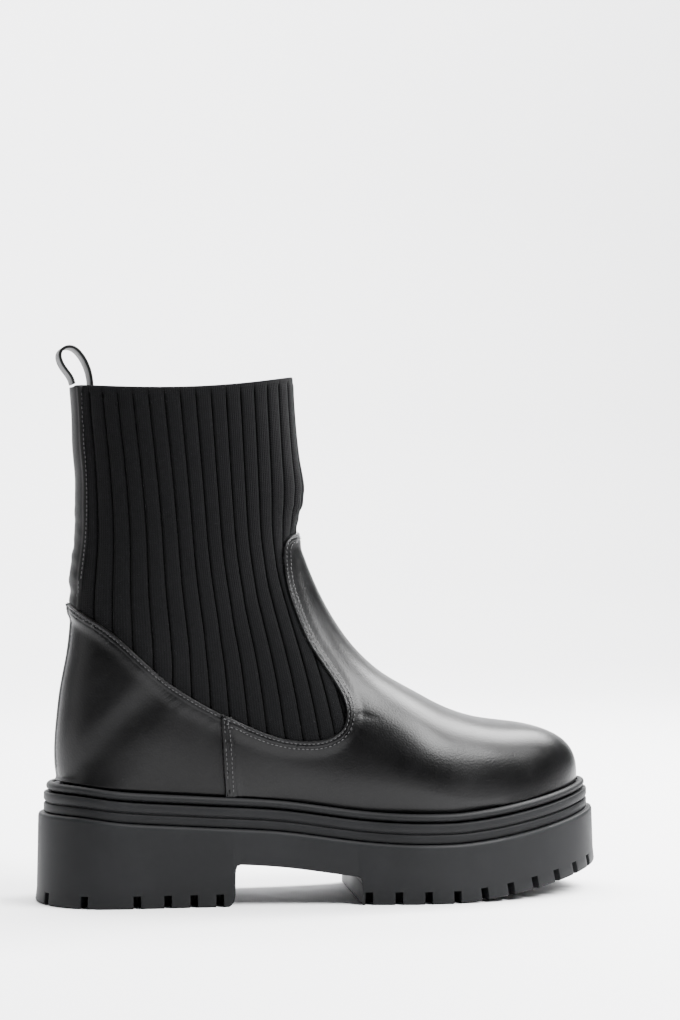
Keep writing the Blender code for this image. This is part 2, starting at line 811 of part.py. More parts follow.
counter_edge = [side_point(*point) for point in smooth_path(COUNTER_EDGE, 22)]
vamp_edge = [side_point(*point) for point in smooth_path(VAMP_EDGE, 44)]
below = side_point(SEAM_FOOT, -0.10)
seam_shift = (GAP, 0.0)


def leather(name, thickness):
    surface = last_surface(LEATHER_END)
    push(surface, GAP)
    return make_object(name, surface, LEATHER, thickness, outward=True)


def side_cut(item, outline, operation="INTERSECT"):
    boolean(item, side_cutter(item.name + "_outline", outline), operation)


BEHIND = -0.02
AHEAD = SOLE_LENGTH + 0.02

counter = leather("counter", COUNTER_LEATHER)
counter_seam = [(counter_edge[-1][0] - GAP, counter_edge[-1][1]), (below[0] - GAP, below[1])]
side_cut(counter, [(BEHIND, counter_edge[0][1])] + counter_edge[:-1] + counter_seam + [(BEHIND, below[1])])

vamp = leather("vamp", VAMP_LEATHER)
side_cut(vamp, vamp_edge + [(AHEAD, vamp_edge[-1][1]), (AHEAD, below[1]), below])

# Ribbed knit between the leather's edge and the collar, over the upper

rim_section = [last_point(len(SECTIONS) - 1, turn) for turn in np.linspace(-1, 0, 201)]
rim_steps = np.linalg.norm(np.diff(np.array(rim_section), axis=0), axis=1)
rim_walk = np.concatenate([[0], np.cumsum(rim_steps)]) / rim_steps.sum()
rim_low, rim_top = section_ends(len(SECTIONS) - 1)
rim_share = [(point[0] - rim_low[0]) / (rim_top[0] - rim_low[0]) for point in rim_section]

back_rows = np.linspace(HEEL_CORNER, len(SECTIONS) - 1, 400)
back_ups = back_up(back_rows)
front_line = spline(column(RIB_FRONT, 0), column(RIB_FRONT, 1))
front_rows = np.linspace(0, len(SECTIONS) - 1, 400)
front_ups = top_up(front_rows)


def knit_point(walk, level, outer):
    """Point of the last on a rib line. Walk is 0 at the back and 1 at the front, level 0 at the collar."""
    share = float(np.interp(walk, rim_walk, rim_share))
    rim_x = rim_low[0] + (rim_top[0] - rim_low[0]) * share
    rim_z = rim_low[1] + (rim_top[1] - rim_low[1]) * share
    rim_up = (rim_z - float(seat(rim_x))) / UPPER_HEIGHT
    reach_up = float(np.interp(share, column(RIB_REACH, 0), column(RIB_REACH, 1)))
    up = rim_up + (reach_up - rim_up) * level
    back_x, back_z = section_ends(float(np.interp(up, back_ups, back_rows)))[0]
    if share > 0.9999:
        x, z = section_ends(float(np.interp(up, front_ups, front_rows)))[1]
        return x, 0.0, z
    if share < 0.0001:
        return back_x, 0.0, back_z
    sway = RIB_SWAY * RIB_SWAY_PEAK * share * (1 - share) ** 2 * level
    along = (back_x * (1 - share) + sway) / SOLE_LENGTH + float(front_line(up)) * share
    x, z = side_point(along, up)
    row, at = locate(x, z)
    half = section_half(row, at, outer)
    return x, -half if outer else half, sagged(row, at, z)


ribs_per_side = RIB_COUNT // 2
walks = [(rib + flat) / ribs_per_side for rib in range(ribs_per_side) for flat in RIB_FLAT]
stops = [(walk, True) for walk in walks] + [(1.0, True)]
stops += [(walk, False) for walk in reversed(walks[1:])]
is_groove = [round(walk * ribs_per_side, 6) % 1 == 0 for walk, _ in stops]
band = RIM_BAND / UPPER_HEIGHT * 2
levels = [0.0, band, band * 1.5] + list(np.linspace(band * 1.5, 1, KNIT_ROWS)[1:])

points = [knit_point(walk, level, outer) for level in levels for walk, outer in stops]
count = len(stops)
face_grid = grid_faces(len(levels), count, closed=True)
bm = bmesh.new()
verts = [bm.verts.new(point) for point in points]
for face in face_grid:
    bm.faces.new([verts[i] for i in face])
point_outward(bm)
bm.normal_update()
normals = [vertex.normal.copy() for vertex in verts]
places = [vertex.co.copy() for vertex in verts]
bm.free()

full_from = 1 - 2 / ribs_per_side
inner_stops = [i for i, groove in enumerate(is_groove) if groove or stops[i][0] > full_from]
outside = []
for number, (place, normal) in enumerate(zip(places, normals)):
    row, col = divmod(number, count)
    cut = RIB_GROOVE if is_groove[col] and row > 1 else 0.0
    outside.append(place + normal * (KNIT_GAP + KNIT_WALL - cut))
inside = []
for row in range(len(levels)):
    inside += [places[row * count + i] + normals[row * count + i] * KNIT_GAP for i in inner_stops]
inner_count = len(inner_stops)
knit_faces = list(face_grid) + grid_faces(len(levels), inner_count, len(outside), closed=True)
for row in (0, len(levels) - 1):
    for i, first in enumerate(inner_stops):
        last = inner_stops[(i + 1) % inner_count] or count
        chain = [row * count + col % count for col in range(first, last + 1)]
        a = len(outside) + row * inner_count + i
        b = len(outside) + row * inner_count + (i + 1) % inner_count
        knit_faces.append(tuple(chain + [b, a]))
knit_shaft = make_object("knit_shaft", mesh_from(outside + inside, knit_faces), KNIT)

edge_path = counter_edge[:-1] + vamp_edge
knit_edge = shifted(edge_path, EDGE_GAP)
knit_outline = [(BEHIND, knit_edge[0][1])] + knit_edge
knit_outline += [(AHEAD, knit_edge[-1][1]), (AHEAD, below[1]), (BEHIND, below[1])]
side_cut(knit_shaft, knit_outline, "DIFFERENCE")

# Leather stay up the back, over the knit

stay_columns = np.linspace(-1, 1, 7)
stay_rows = list(np.linspace(13.4, len(SECTIONS) - 1, 9))
stay_points = []
for row in stay_rows:
    low, top = section_ends(row)
    for across in stay_columns:
        outer = across <= 0
        widest = section_widths(row, low[0], outer)[1]
        sine = math.sqrt(max(0.0, 1 - (abs(across) * STAY_WIDTH / 2 / widest) ** 2))
        share = float(widest_at(row)) * (1 - sine)
        x = low[0] + (top[0] - low[0]) * share
        z = low[1] + (top[1] - low[1]) * share
        z -= STAY_DROP * (row - stay_rows[0]) / (stay_rows[-1] - stay_rows[0])
        stay_points.append((x, across * STAY_WIDTH / 2, z))
stay_surface = mesh_from(stay_points, grid_faces(len(stay_rows), len(stay_columns)))
bmesh.ops.recalc_face_normals(stay_surface, faces=stay_surface.faces)
if sum(face.normal.x for face in stay_surface.faces) > 0:
    bmesh.ops.reverse_faces(stay_surface, faces=stay_surface.faces)
push(stay_surface, KNIT_GAP + KNIT_WALL + GAP)
back_stay = make_object("back_stay", stay_surface, LEATHER, STAY_LEATHER, outward=True)
side_cut(back_stay, knit_outline, "DIFFERENCE")

# Pull loop: a strap that goes up from the stay, over and down inside the collar

rim_x, rim_z = section_ends(len(SECTIONS) - 1)[0]
loop_line = [(rim_x - back, rim_z + rise * LOOP_RISE) for back, rise in LOOP_PATH]
centre_line = smooth_path(loop_line, LOOP_STEPS)
left_line = shifted(centre_line, LOOP_STRAP / 2)
right_line = shifted(centre_line, -LOOP_STRAP / 2)
loop_points = []
for (x0, z0), (x1, z1) in zip(left_line, right_line):
    for x, y, z in (
        (x0, -LOOP_WIDTH / 2, z0),
        (x0, LOOP_WIDTH / 2, z0),
        (x1, LOOP_WIDTH / 2, z1),
        (x1, -LOOP_WIDTH / 2, z1),
    ):
        loop_points.append((x, y, z))
loop_faces = grid_faces(LOOP_STEPS, 4, closed=True)
loop_faces += [(0, 1, 2, 3), tuple(4 * (LOOP_STEPS - 1) + i for i in range(4))]
pull_loop = make_object("pull_loop", mesh_from(loop_points, loop_faces), LEATHER)

boot = bpy.data.objects.new("boot", None)
pieces.objects.link(boot)
for part in (outsole, midsole, welt, insole, upper, counter, vamp, knit_shaft, back_stay, pull_loop):
    part.parent = boot
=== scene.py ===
# %% [markdown]
# # A knit chelsea boot, dressed in code
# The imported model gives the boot's real shape: sole, upper, leather and knit as plain faceted solids.
# This script keeps their places and sizes and gives each visible piece a finer form and its finish.
# It follows the order in which a boot is put together: sole, lining, leather, knit, trim, stitches.

import math

import bmesh
import bpy
import numpy as np
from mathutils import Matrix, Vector
from mathutils.bvhtree import BVHTree
from mathutils.kdtree import KDTree


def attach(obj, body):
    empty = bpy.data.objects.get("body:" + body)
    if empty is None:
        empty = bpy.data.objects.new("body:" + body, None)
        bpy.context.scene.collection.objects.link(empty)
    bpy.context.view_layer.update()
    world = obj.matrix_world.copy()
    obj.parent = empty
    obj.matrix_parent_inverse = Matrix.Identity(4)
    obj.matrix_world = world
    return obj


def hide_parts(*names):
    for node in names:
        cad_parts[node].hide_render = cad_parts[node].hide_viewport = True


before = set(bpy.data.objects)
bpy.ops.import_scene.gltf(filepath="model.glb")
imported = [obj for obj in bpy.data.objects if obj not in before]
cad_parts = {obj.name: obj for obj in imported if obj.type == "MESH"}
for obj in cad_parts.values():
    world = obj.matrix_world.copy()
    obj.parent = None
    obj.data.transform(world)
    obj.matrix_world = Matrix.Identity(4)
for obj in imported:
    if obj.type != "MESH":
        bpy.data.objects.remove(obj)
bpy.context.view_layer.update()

# %% [markdown]
# ## The same named sizes as the solid model
# A shoe last is the wooden form that a boot is pulled over. Here it is a surface: section lines fan
# out from the toe over the instep to the collar, and each carries a smooth arch from side to side.
# The finer pieces are drawn on that surface again, so they land exactly where the solids are.

# %% Sizes of the sole and the upper, in metres
SOLE_LENGTH, BALL_WIDTH, HEEL_WIDTH = 0.288, 0.108, 0.078
HEEL_HEIGHT, BALL_HEIGHT, TOE_SPRING = 0.0590, 0.0437, 0.014
SHANK_THICKNESS, WALL_FLARE = 0.0170, 0.0014
LUG_DEPTH, LUG_GAP, LUG_REACH = 0.0062, 0.0038, 0.012
MIDSOLE_HEIGHT, WELT_HEIGHT, WELT_SEAT = 0.0105, 0.0045, 0.0012
MIDSOLE_INSET, WELT_INSET, UPPER_INSET = 0.0040, 0.0052, 0.0092
UPPER_HEIGHT, SHAFT_WIDTH, RIM_SAG = 0.198, 0.061, 0.0040
VAMP_LEATHER, FEATHER_LIP, GAP = 0.0018, 0.0008, 0.0003
RIB_COUNT = 36

# %% Outline of the sole seen from above
# Half widths are shares of a width that goes over from HEEL_WIDTH (heel = 1) to BALL_WIDTH (heel = 0)
PLAN = [
    # along, heel, outer, inner
    (0.00, 1.00, 0.500, 0.500),
    (0.14, 1.00, 0.500, 0.496),
    (0.25, 1.00, 0.512, 0.490),
    (0.35, 0.75, 0.482, 0.430),
    (0.45, 0.50, 0.470, 0.385),
    (0.55, 0.25, 0.482, 0.398),
    (0.64, 0.00, 0.493, 0.444),
    (0.73, 0.00, 0.489, 0.488),
    (0.82, 0.00, 0.454, 0.486),
    (0.91, 0.00, 0.424, 0.474),
    (1.00, 0.00, 0.400, 0.450),
]
HEEL_ROUND = 0.14
TOE_ROUND = 0.25
HEEL_POWER = 2.2
TOE_POWER = 2.35
TOE_SWING = 0.007
TOE_SWING_POWER = 6

# %% Top line of the sole, from the heel to the ball
SEAT_DROP = [
    # along, left
    (0.00, 1.00),
    (0.06, 0.99),
    (0.11, 0.87),
    (0.21, 0.71),
    (0.31, 0.59),
    (0.41, 0.45),
    (0.525, 0.15),
    (0.625, 0.01),
    (0.70, 0.00),
    (1.00, 0.00),
]
SPRING_START = 0.695
SPRING_POWER = 1.5

# %% Space under the arch and the lug gaps round the tread
ARCH = [
    # outer_along, inner_along, rise
    (0.3060, 0.3060, -0.050),
    (0.3160, 0.3160, 0.040),
    (0.3220, 0.3220, 0.200),
    (0.3232, 0.3232, 0.500),
    (0.3236, 0.3236, 0.750),
    (0.3238, 0.3238, 0.880),
    (0.3243, 0.3243, 0.945),
    (0.3258, 0.3258, 0.980),
    (0.3288, 0.3288, 0.998),
    (0.3340, 0.3340, 1.000),
    (0.3440, 0.3440, 1.000),
    (0.3640, 0.3640, 1.000),
    (0.4000, 0.4100, 1.000),
    (0.4600, 0.4800, 1.000),
    (0.5000, 0.5300, 1.000),
    (0.5150, 0.5500, 1.000),
    (0.5225, 0.5600, 1.000),
    (0.5265, 0.5655, 0.995),
    (0.5290, 0.5690, 0.975),
    (0.5303, 0.5713, 0.930),
    (0.5309, 0.5725, 0.850),
    (0.5313, 0.5733, 0.700),
    (0.5320, 0.5740, 0.350),
    (0.5320, 0.5740, -0.050),
]
HEEL_GAPS = [0.012, 0.069, 0.157, 0.209, 0.253, 0.297]
FORE_GAP_FIRST = 0.5980
FORE_GAP_PITCH = 0.0147

# %% Section lines of the last, from the toe box to the heel and up to the collar
SECTIONS = [
    # top_along, top_up, low_along, low_up, foot, shaft, widest, power
    (0.8056, 0.1880, 0.8056, 0.0000, 1.00, 0.00, 0.00, 2.45),
    (0.7300, 0.2280, 0.7300, 0.0000, 1.06, 0.00, 0.15, 2.30),
    (0.6520, 0.2890, 0.6520, 0.0000, 1.09, 0.00, 0.21, 2.15),
    (0.5970, 0.3350, 0.5730, 0.0000, 1.11, 0.00, 0.25, 2.05),
    (0.5490, 0.3940, 0.4860, 0.0000, 1.12, 0.00, 0.27, 2.00),
    (0.5140, 0.4580, 0.3920, 0.0000, 1.11, 0.00, 0.30, 2.00),
    (0.4880, 0.5200, 0.2950, 0.0000, 1.08, 0.00, 0.30, 2.00),
    (0.4700, 0.5730, 0.2010, 0.0000, 1.07, 0.00, 0.29, 2.00),
    (0.4610, 0.6050, 0.1180, 0.0000, 1.07, 0.00, 0.28, 2.00),
    (0.4535, 0.6350, 0.0660, 0.0000, 1.05, 0.00, 0.27, 2.00),
    (0.4475, 0.6630, 0.0450, 0.0000, 1.03, 0.02, 0.27, 2.00),
    (0.4445, 0.6820, 0.0440, 0.0900, 0.72, 0.28, 0.32, 2.05),
    (0.4448, 0.7000, 0.0500, 0.2040, 0.42, 0.52, 0.38, 2.10),
    (0.4475, 0.7210, 0.0640, 0.3420, 0.17, 0.72, 0.43, 2.15),
    (0.4500, 0.7480, 0.0720, 0.4730, 0.04, 0.84, 0.46, 2.20),
    (0.4515, 0.7840, 0.0805, 0.6010, 0.00, 0.90, 0.48, 2.20),
    (0.4495, 0.8350, 0.0830, 0.7200, 0.00, 0.94, 0.49, 2.20),
    (0.4435, 0.9050, 0.0800, 0.8280, 0.00, 0.97, 0.50, 2.20),
    (0.4395, 0.9780, 0.0770, 0.9160, 0.00, 0.99, 0.50, 2.20),
    (0.4375, 1.0620, 0.0750, 0.9920, 0.00, 1.00, 0.50, 2.20),
]
HEEL_CORNER = 10
WIDTH_FROM = 0.14

# %% Edges of the leather in the side view
COUNTER_EDGE = [
    # along, up
    (0.030, 0.475),
    (0.056, 0.463),
    (0.072, 0.437),
    (0.106, 0.403),
    (0.148, 0.356),
    (0.199, 0.290),
    (0.251, 0.241),
    (0.301, 0.205),
]
VAMP_EDGE = [
    # along, up
    (0.301, 0.205),
    (0.328, 0.190),
    (0.360, 0.172),
    (0.403, 0.155),
    (0.447, 0.154),
    (0.482, 0.166),
    (0.508, 0.195),
    (0.516, 0.238),
    (0.504, 0.288),
    (0.482, 0.336),
    (0.456, 0.392),
    (0.433, 0.470),
    (0.421, 0.530),
    (0.4155, 0.600),
    (0.4170, 0.632),
    (0.4270, 0.655),
    (0.4450, 0.664),
    (0.4700, 0.667),
]
SEAM_FOOT = 0.313

# %% Lines that the ribs run between
RIB_FRONT = [
    # up, along
    (0.150, 0.5450),
    (0.300, 0.5200),
    (0.450, 0.4880),
    (0.580, 0.4580),
    (0.640, 0.4460),
    (0.682, 0.4440),
    (0.700, 0.4448),
    (0.721, 0.4475),
    (0.748, 0.4500),
    (0.784, 0.4515),
    (0.835, 0.4495),
    (0.905, 0.4435),
    (0.978, 0.4395),
    (1.062, 0.4375),
]
CALM_FRONT = [
    # up, along
    (0.150, 0.5450),
    (0.300, 0.5200),
    (0.450, 0.4880),
    (0.620, 0.4560),
    (0.800, 0.4440),
    (1.062, 0.4375),
]
RIB_REACH = [
    # share, up
    (0.00, 0.400),
    (0.05, 0.370),
    (0.15, 0.310),
    (0.30, 0.235),
    (0.50, 0.150),
    (0.70, 0.112),
    (0.90, 0.112),
    (0.96, 0.150),
    (1.00, 0.450),
]
RIB_SWAY = 0.0085
RIB_SWAY_PEAK = 6.75

# %% Centre line of the pull loop
LOOP_RISE = 0.0185
LOOP_PATH = [
    # back, rise
    (0.0031, 0.020),
    (0.0038, 0.150),
    (0.0066, 0.380),
    (0.0094, 0.640),
    (0.0096, 0.860),
    (0.0070, 0.990),
    (0.0034, 0.990),
    (-0.0002, 0.840),
    (-0.0034, 0.560),
    (-0.0052, 0.260),
    (-0.0058, 0.000),
    (-0.0060, -0.300),
    (-0.0064, -0.640),
]

# %% [markdown]
# ## Smooth curves through short tables
# A natural spline bends as a thin strip of wood would through the table's rows. All functions here
# take whole arrays of numbers, because a fine sheet of leather has many thousand points.

# %% Splines
def spline(xs, ys):
    """Natural cubic curve through the points, as a function that takes numbers or arrays."""
    xs = np.asarray(xs, float)
    ys = np.asarray(ys, float)
    count = len(xs)
    h = np.diff(xs)
    matrix = np.eye(count)
    right = np.zeros(count)
    for i in range(1, count - 1):
        matrix[i, i - 1 : i + 2] = h[i - 1], 2 * (h[i - 1] + h[i]), h[i]
        right[i] = 6 * ((ys[i + 1] - ys[i]) / h[i] - (ys[i] - ys[i - 1]) / h[i - 1])
    curve = np.linalg.solve(matrix, right)

    def value(x):
        x = np.clip(np.asarray(x, float), xs[0], xs[-1])
        i = np.clip(np.searchsorted(xs, x, side="right") - 1, 0, count - 2)
        a = (xs[i + 1] - x) / h[i]
        b = 1 - a
        bend = ((a**3 - a) * curve[i] + (b**3 - b) * curve[i + 1]) * h[i] ** 2 / 6
        return a * ys[i] + b * ys[i + 1] + bend

    return value


def column(table, number):
    return [row[number] for row in table]


def smoothstep(value, first, last):
    """Soft step from 0 at first to 1 at last."""
    t = np.clip((value - first) / (last - first), 0, 1)
    return t * t * (3 - 2 * t)


def walked_along(points):
    """Length walked along a path up to each of its points."""
    return np.concatenate([[0], np.cumsum(np.linalg.norm(np.diff(points, axis=0), axis=1))])


def smooth_path(points, steps):
    """Points at even spacing on a smooth curve through the given 2D points."""
    points = np.asarray(points, float)
    chords = walked_along(points)
    curves = [spline(chords, points[:, axis]) for axis in range(2)]
    return [tuple(float(curve(at)) for curve in curves) for at in np.linspace(0, chords[-1], steps)]

# %% The sole's heights and outline
plan_heel = spline(column(PLAN, 0), column(PLAN, 1))
plan_outer = spline(column(PLAN, 0), column(PLAN, 2))
plan_inner = spline(column(PLAN, 0), column(PLAN, 3))
seat_drop = spline(column(SEAT_DROP, 0), column(SEAT_DROP, 1))


def toe_lift(x):
    """How far toe spring raises the sole at x."""
    past = np.clip((np.asarray(x) / SOLE_LENGTH - SPRING_START) / (1 - SPRING_START), 0, 1)
    return TOE_SPRING * past**SPRING_POWER


def seat(x):
    """Height of the sole's top edge at x."""
    drop = (HEEL_HEIGHT - BALL_HEIGHT) * seat_drop(np.asarray(x) / SOLE_LENGTH)
    return BALL_HEIGHT + drop + toe_lift(x)


def ledge(x):
    """Height of the outsole's top at x."""
    return seat(x) - MIDSOLE_HEIGHT - WELT_HEIGHT


def plan_points(turn):
    """Outline points from above. Turn 0 is the heel's end, and pi the toe's, by the outer side."""
    turn = np.asarray(turn, float)
    share = (1 - np.cos(turn)) / 2
    heel = plan_heel(share)
    outer = np.mod(turn, 2 * math.pi) <= math.pi
    full_width = heel * HEEL_WIDTH + (1 - heel) * BALL_WIDTH
    half = full_width * np.where(outer, plan_outer(share), plan_inner(share))
    back = np.clip(1 - share / HEEL_ROUND, 0, 1)
    ahead = np.clip((share - 1 + TOE_ROUND) / TOE_ROUND, 0, 1)
    half = half * np.sqrt(1 - back**HEEL_POWER) * np.sqrt(1 - ahead**TOE_POWER)
    middle = TOE_SWING * share**TOE_SWING_POWER
    return np.stack([SOLE_LENGTH * share, np.where(outer, middle - half, middle + half)], -1)


def outline(turn, inset):
    """Outline points moved inwards by inset."""
    turn = np.asarray(turn, float)
    ahead = plan_points(turn + 0.002) - plan_points(turn - 0.002)
    ahead /= np.linalg.norm(ahead, axis=-1, keepdims=True)
    return plan_points(turn) + np.stack([-ahead[..., 1], ahead[..., 0]], -1) * inset


ring = plan_points(np.pi * np.arange(60) / 30)
CENTRE = np.array([SOLE_LENGTH / 2, (ring[:, 1].min() + ring[:, 1].max()) / 2, 0.0])
print("sole", SOLE_LENGTH, "by", round(float(np.ptp(ring[:, 1])), 4))

# %% The last as a surface
LAST_INSET = UPPER_INSET + VAMP_LEATHER + GAP
LAST_DROP = WELT_SEAT - GAP - FEATHER_LIP
HEEL_SHARE = SECTIONS[HEEL_CORNER][2]
LAST_ROW = len(SECTIONS) - 1
fine = np.pi * np.arange(800) / 400
inner_ring = outline(fine, LAST_INSET)
outer_half, inner_half = inner_ring[:401], np.vstack([inner_ring[:1], inner_ring[:399:-1]])
LAST_HEEL, LAST_TOE = float(outer_half[0, 0]), float(outer_half[-1, 0])


def feather(x, outer):
    """Half width of the upper's foot at x."""
    near = -np.interp(x, outer_half[:, 0], outer_half[:, 1], left=0, right=0)
    far = np.interp(x, inner_half[:, 0], inner_half[:, 1], left=0, right=0)
    return np.where(outer, near, far)


numbers = np.arange(len(SECTIONS))
top_along, top_up = (spline(numbers, column(SECTIONS, n)) for n in (0, 1))
foot_share, shaft_share, widest_at, arch_power = (spline(numbers, column(SECTIONS, n)) for n in (4, 5, 6, 7))
bottom_along = spline(numbers[: HEEL_CORNER + 1], column(SECTIONS, 2)[: HEEL_CORNER + 1])
back_along, back_up = (spline(numbers[HEEL_CORNER:], column(SECTIONS, n)[HEEL_CORNER:]) for n in (2, 3))


def side_point(along, up):
    """Place in the side view, from shares of the sole's length and the upper's height."""
    x = np.asarray(along, float) * SOLE_LENGTH
    return x, seat(x) + np.asarray(up, float) * UPPER_HEIGHT


def section_ends(row):
    """Low point and top point of the section lines, in the side view."""
    row = np.asarray(row, float)
    along = np.where(row > HEEL_CORNER, back_along(row), bottom_along(row))
    up = np.where(row > HEEL_CORNER, back_up(row), 0.0)
    near = np.clip(1 - np.abs(along - HEEL_SHARE) / HEEL_SHARE, 0, None)
    low_x, low_z = side_point(along + (LAST_HEEL / SOLE_LENGTH - HEEL_SHARE) * near, up)
    top_x, top_z = side_point(top_along(row), top_up(row))
    return low_x, low_z - LAST_DROP, top_x, top_z


def section_widths(row, low_x, outer):
    """Half widths at the bottom and at the widest place."""
    bottom = np.where(np.asarray(row) < HEEL_CORNER, feather(low_x, outer), 0.0)
    local = feather(np.maximum(low_x, WIDTH_FROM * SOLE_LENGTH), outer)
    widest = foot_share(row) * local + shaft_share(row) * SHAFT_WIDTH / 2
    return np.minimum(bottom, widest), widest


def sagged(row, share, z):
    """Height after the collar's sag half way along each side."""
    return z - RIM_SAG * 4 * share * (1 - share) * np.clip((row - LAST_ROW + 2) / 2, 0, 1)


def last_points(row, turn):
    """Points of the last. Turn is -1 at the outer side's foot, 0 at the top and 1 at the inner side's."""
    row, turn = np.broadcast_arrays(np.asarray(row, float), np.asarray(turn, float))
    outer = turn <= 0
    low_x, low_z, top_x, top_z = section_ends(row)
    bottom, widest = section_widths(row, low_x, outer)
    start = np.arccos(np.clip(bottom / widest, 0, 1))
    angle = np.pi / 2 - np.abs(turn) * (np.pi / 2 + start)
    power = 2 / arch_power(row)
    at = widest_at(row)
    high = at + (1 - at) * np.clip(np.sin(angle), 0, 1) ** power
    low = at * (1 + np.sin(angle) / np.maximum(np.sin(start), 1e-9))
    share = np.where(angle >= 0, high, low)
    half = widest * np.where(angle >= 0, np.clip(np.cos(angle), 0, 1) ** power, np.cos(angle))
    half = np.where(np.abs(turn) >= 1, bottom, half)
    x = low_x + (top_x - low_x) * share
    z = low_z + (top_z - low_z) * share
    return np.stack([x, np.where(outer, -half, half), sagged(row, share, z)], -1)


def section_half(row, share, outer):
    """Half width of the last at a share of the way up a section line."""
    low_x = section_ends(row)[0]
    bottom, widest = section_widths(row, low_x, outer)
    at = widest_at(row)
    power = 2 / arch_power(row)
    rise = np.clip((share - at) / (1 - at), 0, 1) ** (1 / power)
    above = widest * np.sqrt(1 - rise * rise) ** power
    sine = np.clip(1 - share / np.maximum(at, 1e-9), 0, 1) * np.sqrt(1 - (bottom / widest) ** 2)
    return np.where(share >= at, above, widest * np.sqrt(1 - sine * sine))


def toe_points(step, turn):
    """Points of the toe cap. Step is 0 on the first section and 1 on the sole."""
    step, turn = np.broadcast_arrays(np.asarray(step, float), np.asarray(turn, float))
    outer = turn <= 0
    start = last_points(0.0, turn)
    x0, y0, z0 = start[..., 0], start[..., 1], start[..., 2]
    back = feather(x0, outer)
    taper = (feather(x0 + 0.001, outer) - back) / 0.001
    swing = np.abs(turn)
    x1 = x0 + (LAST_TOE - x0) * np.cos(swing * np.pi / 2)
    half = feather(np.minimum(x1, LAST_TOE - 1e-6), outer)
    middle = float(feather(LAST_TOE - 2e-4, False) - feather(LAST_TOE - 2e-4, True)) / 2
    y1 = np.where(swing < 1e-9, middle, np.where(outer, -half, half))
    z1 = seat(x1) - LAST_DROP
    base_y = y1 - taper * (y0 / back) * (x1 - x0)
    across = np.clip(np.cos(step * np.pi / 2), 0, 1) ** (2 / 2.3)
    ahead = np.clip(np.sin(step * np.pi / 2), 0, 1) ** (2 / 2.3)
    base_z = seat(x0) - LAST_DROP
    x = x0 + (x1 - x0) * ahead
    y = base_y + (y0 - base_y) * across + (y1 - base_y) * ahead
    z = base_z + (z0 - base_z) * across + (z1 - base_z) * ahead**4
    return np.stack([x, y, z], -1)


def locate(x, z):
    """Row and share of the section line that passes through each place of the side view."""
    def side(row):
        low_x, low_z, top_x, top_z = section_ends(row)
        return (top_x - low_x) * (z - low_z) - (top_z - low_z) * (x - low_x)

    first = np.zeros(np.shape(x))
    last = np.full(np.shape(x), float(LAST_ROW))
    sign = side(last) > 0
    for _ in range(30):
        row = (first + last) / 2
        same = (side(row) > 0) == sign
        last = np.where(same, row, last)
        first = np.where(same, first, row)
    low_x, low_z, top_x, top_z = section_ends(row)
    dx, dz = top_x - low_x, top_z - low_z
    return row, np.clip(((x - low_x) * dx + (z - low_z) * dz) / (dx * dx + dz * dz), 0, 1)


def on_last(x, z, outer):
    """Point of the last behind each place of the side view, on one side."""
    row, share = locate(x, z)
    half = section_half(row, share, outer)
    return np.stack([x, np.where(outer, -half, half), z], -1)


print("collar at", [round(float(v), 4) for v in last_points(LAST_ROW, 0.0)])

# %% [markdown]
# ## Sheets that are cut and shaped
# Leather and knit lie on the last like cloth on a form. Each piece starts as a fine grid of the last.
# The grid is cut along its edge, which is a curve in the side view, and keeps for each point the
# distance to that edge. The distance then shapes the sheet: a folded edge is a roll a few millimetres
# wide. This gives cleaner edges than a Boolean cut, which would leave a sharp rim to be beveled.

# %% Fine grid of the last
def spaced(first, last, spacing):
    """Row numbers between two rows, no further apart on the last than spacing."""
    rows = [first]
    for start in range(int(math.floor(first)), int(math.ceil(last))):
        a, b = max(first, start), min(last, start + 1)
        low0, up0, x0, z0 = section_ends(a)
        low1, up1, x1, z1 = section_ends(b)
        span = max(math.hypot(low1 - low0, up1 - up0), math.hypot(x1 - x0, z1 - z0))
        rows += list(np.linspace(a, b, max(1, math.ceil(float(span) / spacing)) + 1)[1:])
    return np.array(rows)


def eased(grid, middle, reach, rounds):
    """Grid whose rows flow evenly over a joint: each row moves towards the mean of its neighbours."""
    for _ in range(rounds):
        for row in range(max(1, middle - reach), min(len(grid) - 1, middle + reach)):
            share = 0.5 * (1 - abs(row - middle) / reach)
            grid[row, 1:-1] += share * ((grid[row - 1, 1:-1] + grid[row + 1, 1:-1]) / 2 - grid[row, 1:-1])
    return grid


def bridged(grid, middle, reach):
    """Grid whose rows beside a joint run in one smooth bend, fading to the old rows at both side edges."""
    first, last = middle - reach, middle + reach
    start, end = grid[first].copy(), grid[last].copy()
    leaving, arriving = (start - grid[first - 1]) * 2 * reach, (grid[last + 1] - end) * 2 * reach
    side = np.abs(np.linspace(-1, 1, grid.shape[1]))
    share = smoothstep(1 - side, 0.0, 0.30)[:, None]
    for row in range(first, last + 1):
        t = (row - first) / (2 * reach)
        bend = start * (2 * t**3 - 3 * t**2 + 1) + end * (3 * t**2 - 2 * t**3)
        bend += leaving * (t**3 - 2 * t**2 + t) + arriving * (t**3 - t**2)
        grid[row] += share * (bend - grid[row])
    return grid


def last_grid(spacing, columns):
    """Grid of points of the last: rows from the toe to the collar, turns across."""
    turns = np.linspace(-1, 1, 2 * columns + 1)
    grid = last_points(spaced(0, LAST_ROW, spacing)[:, None], turns[None, :])
    count = math.ceil((LAST_TOE - grid[0, columns, 0]) * 1.6 / spacing)
    steps = np.linspace(1, 0, count + 1)[:-1]
    grid = np.concatenate([toe_points(steps[:, None], turns[None, :]), grid])
    return eased(grid, count, 30, 160)


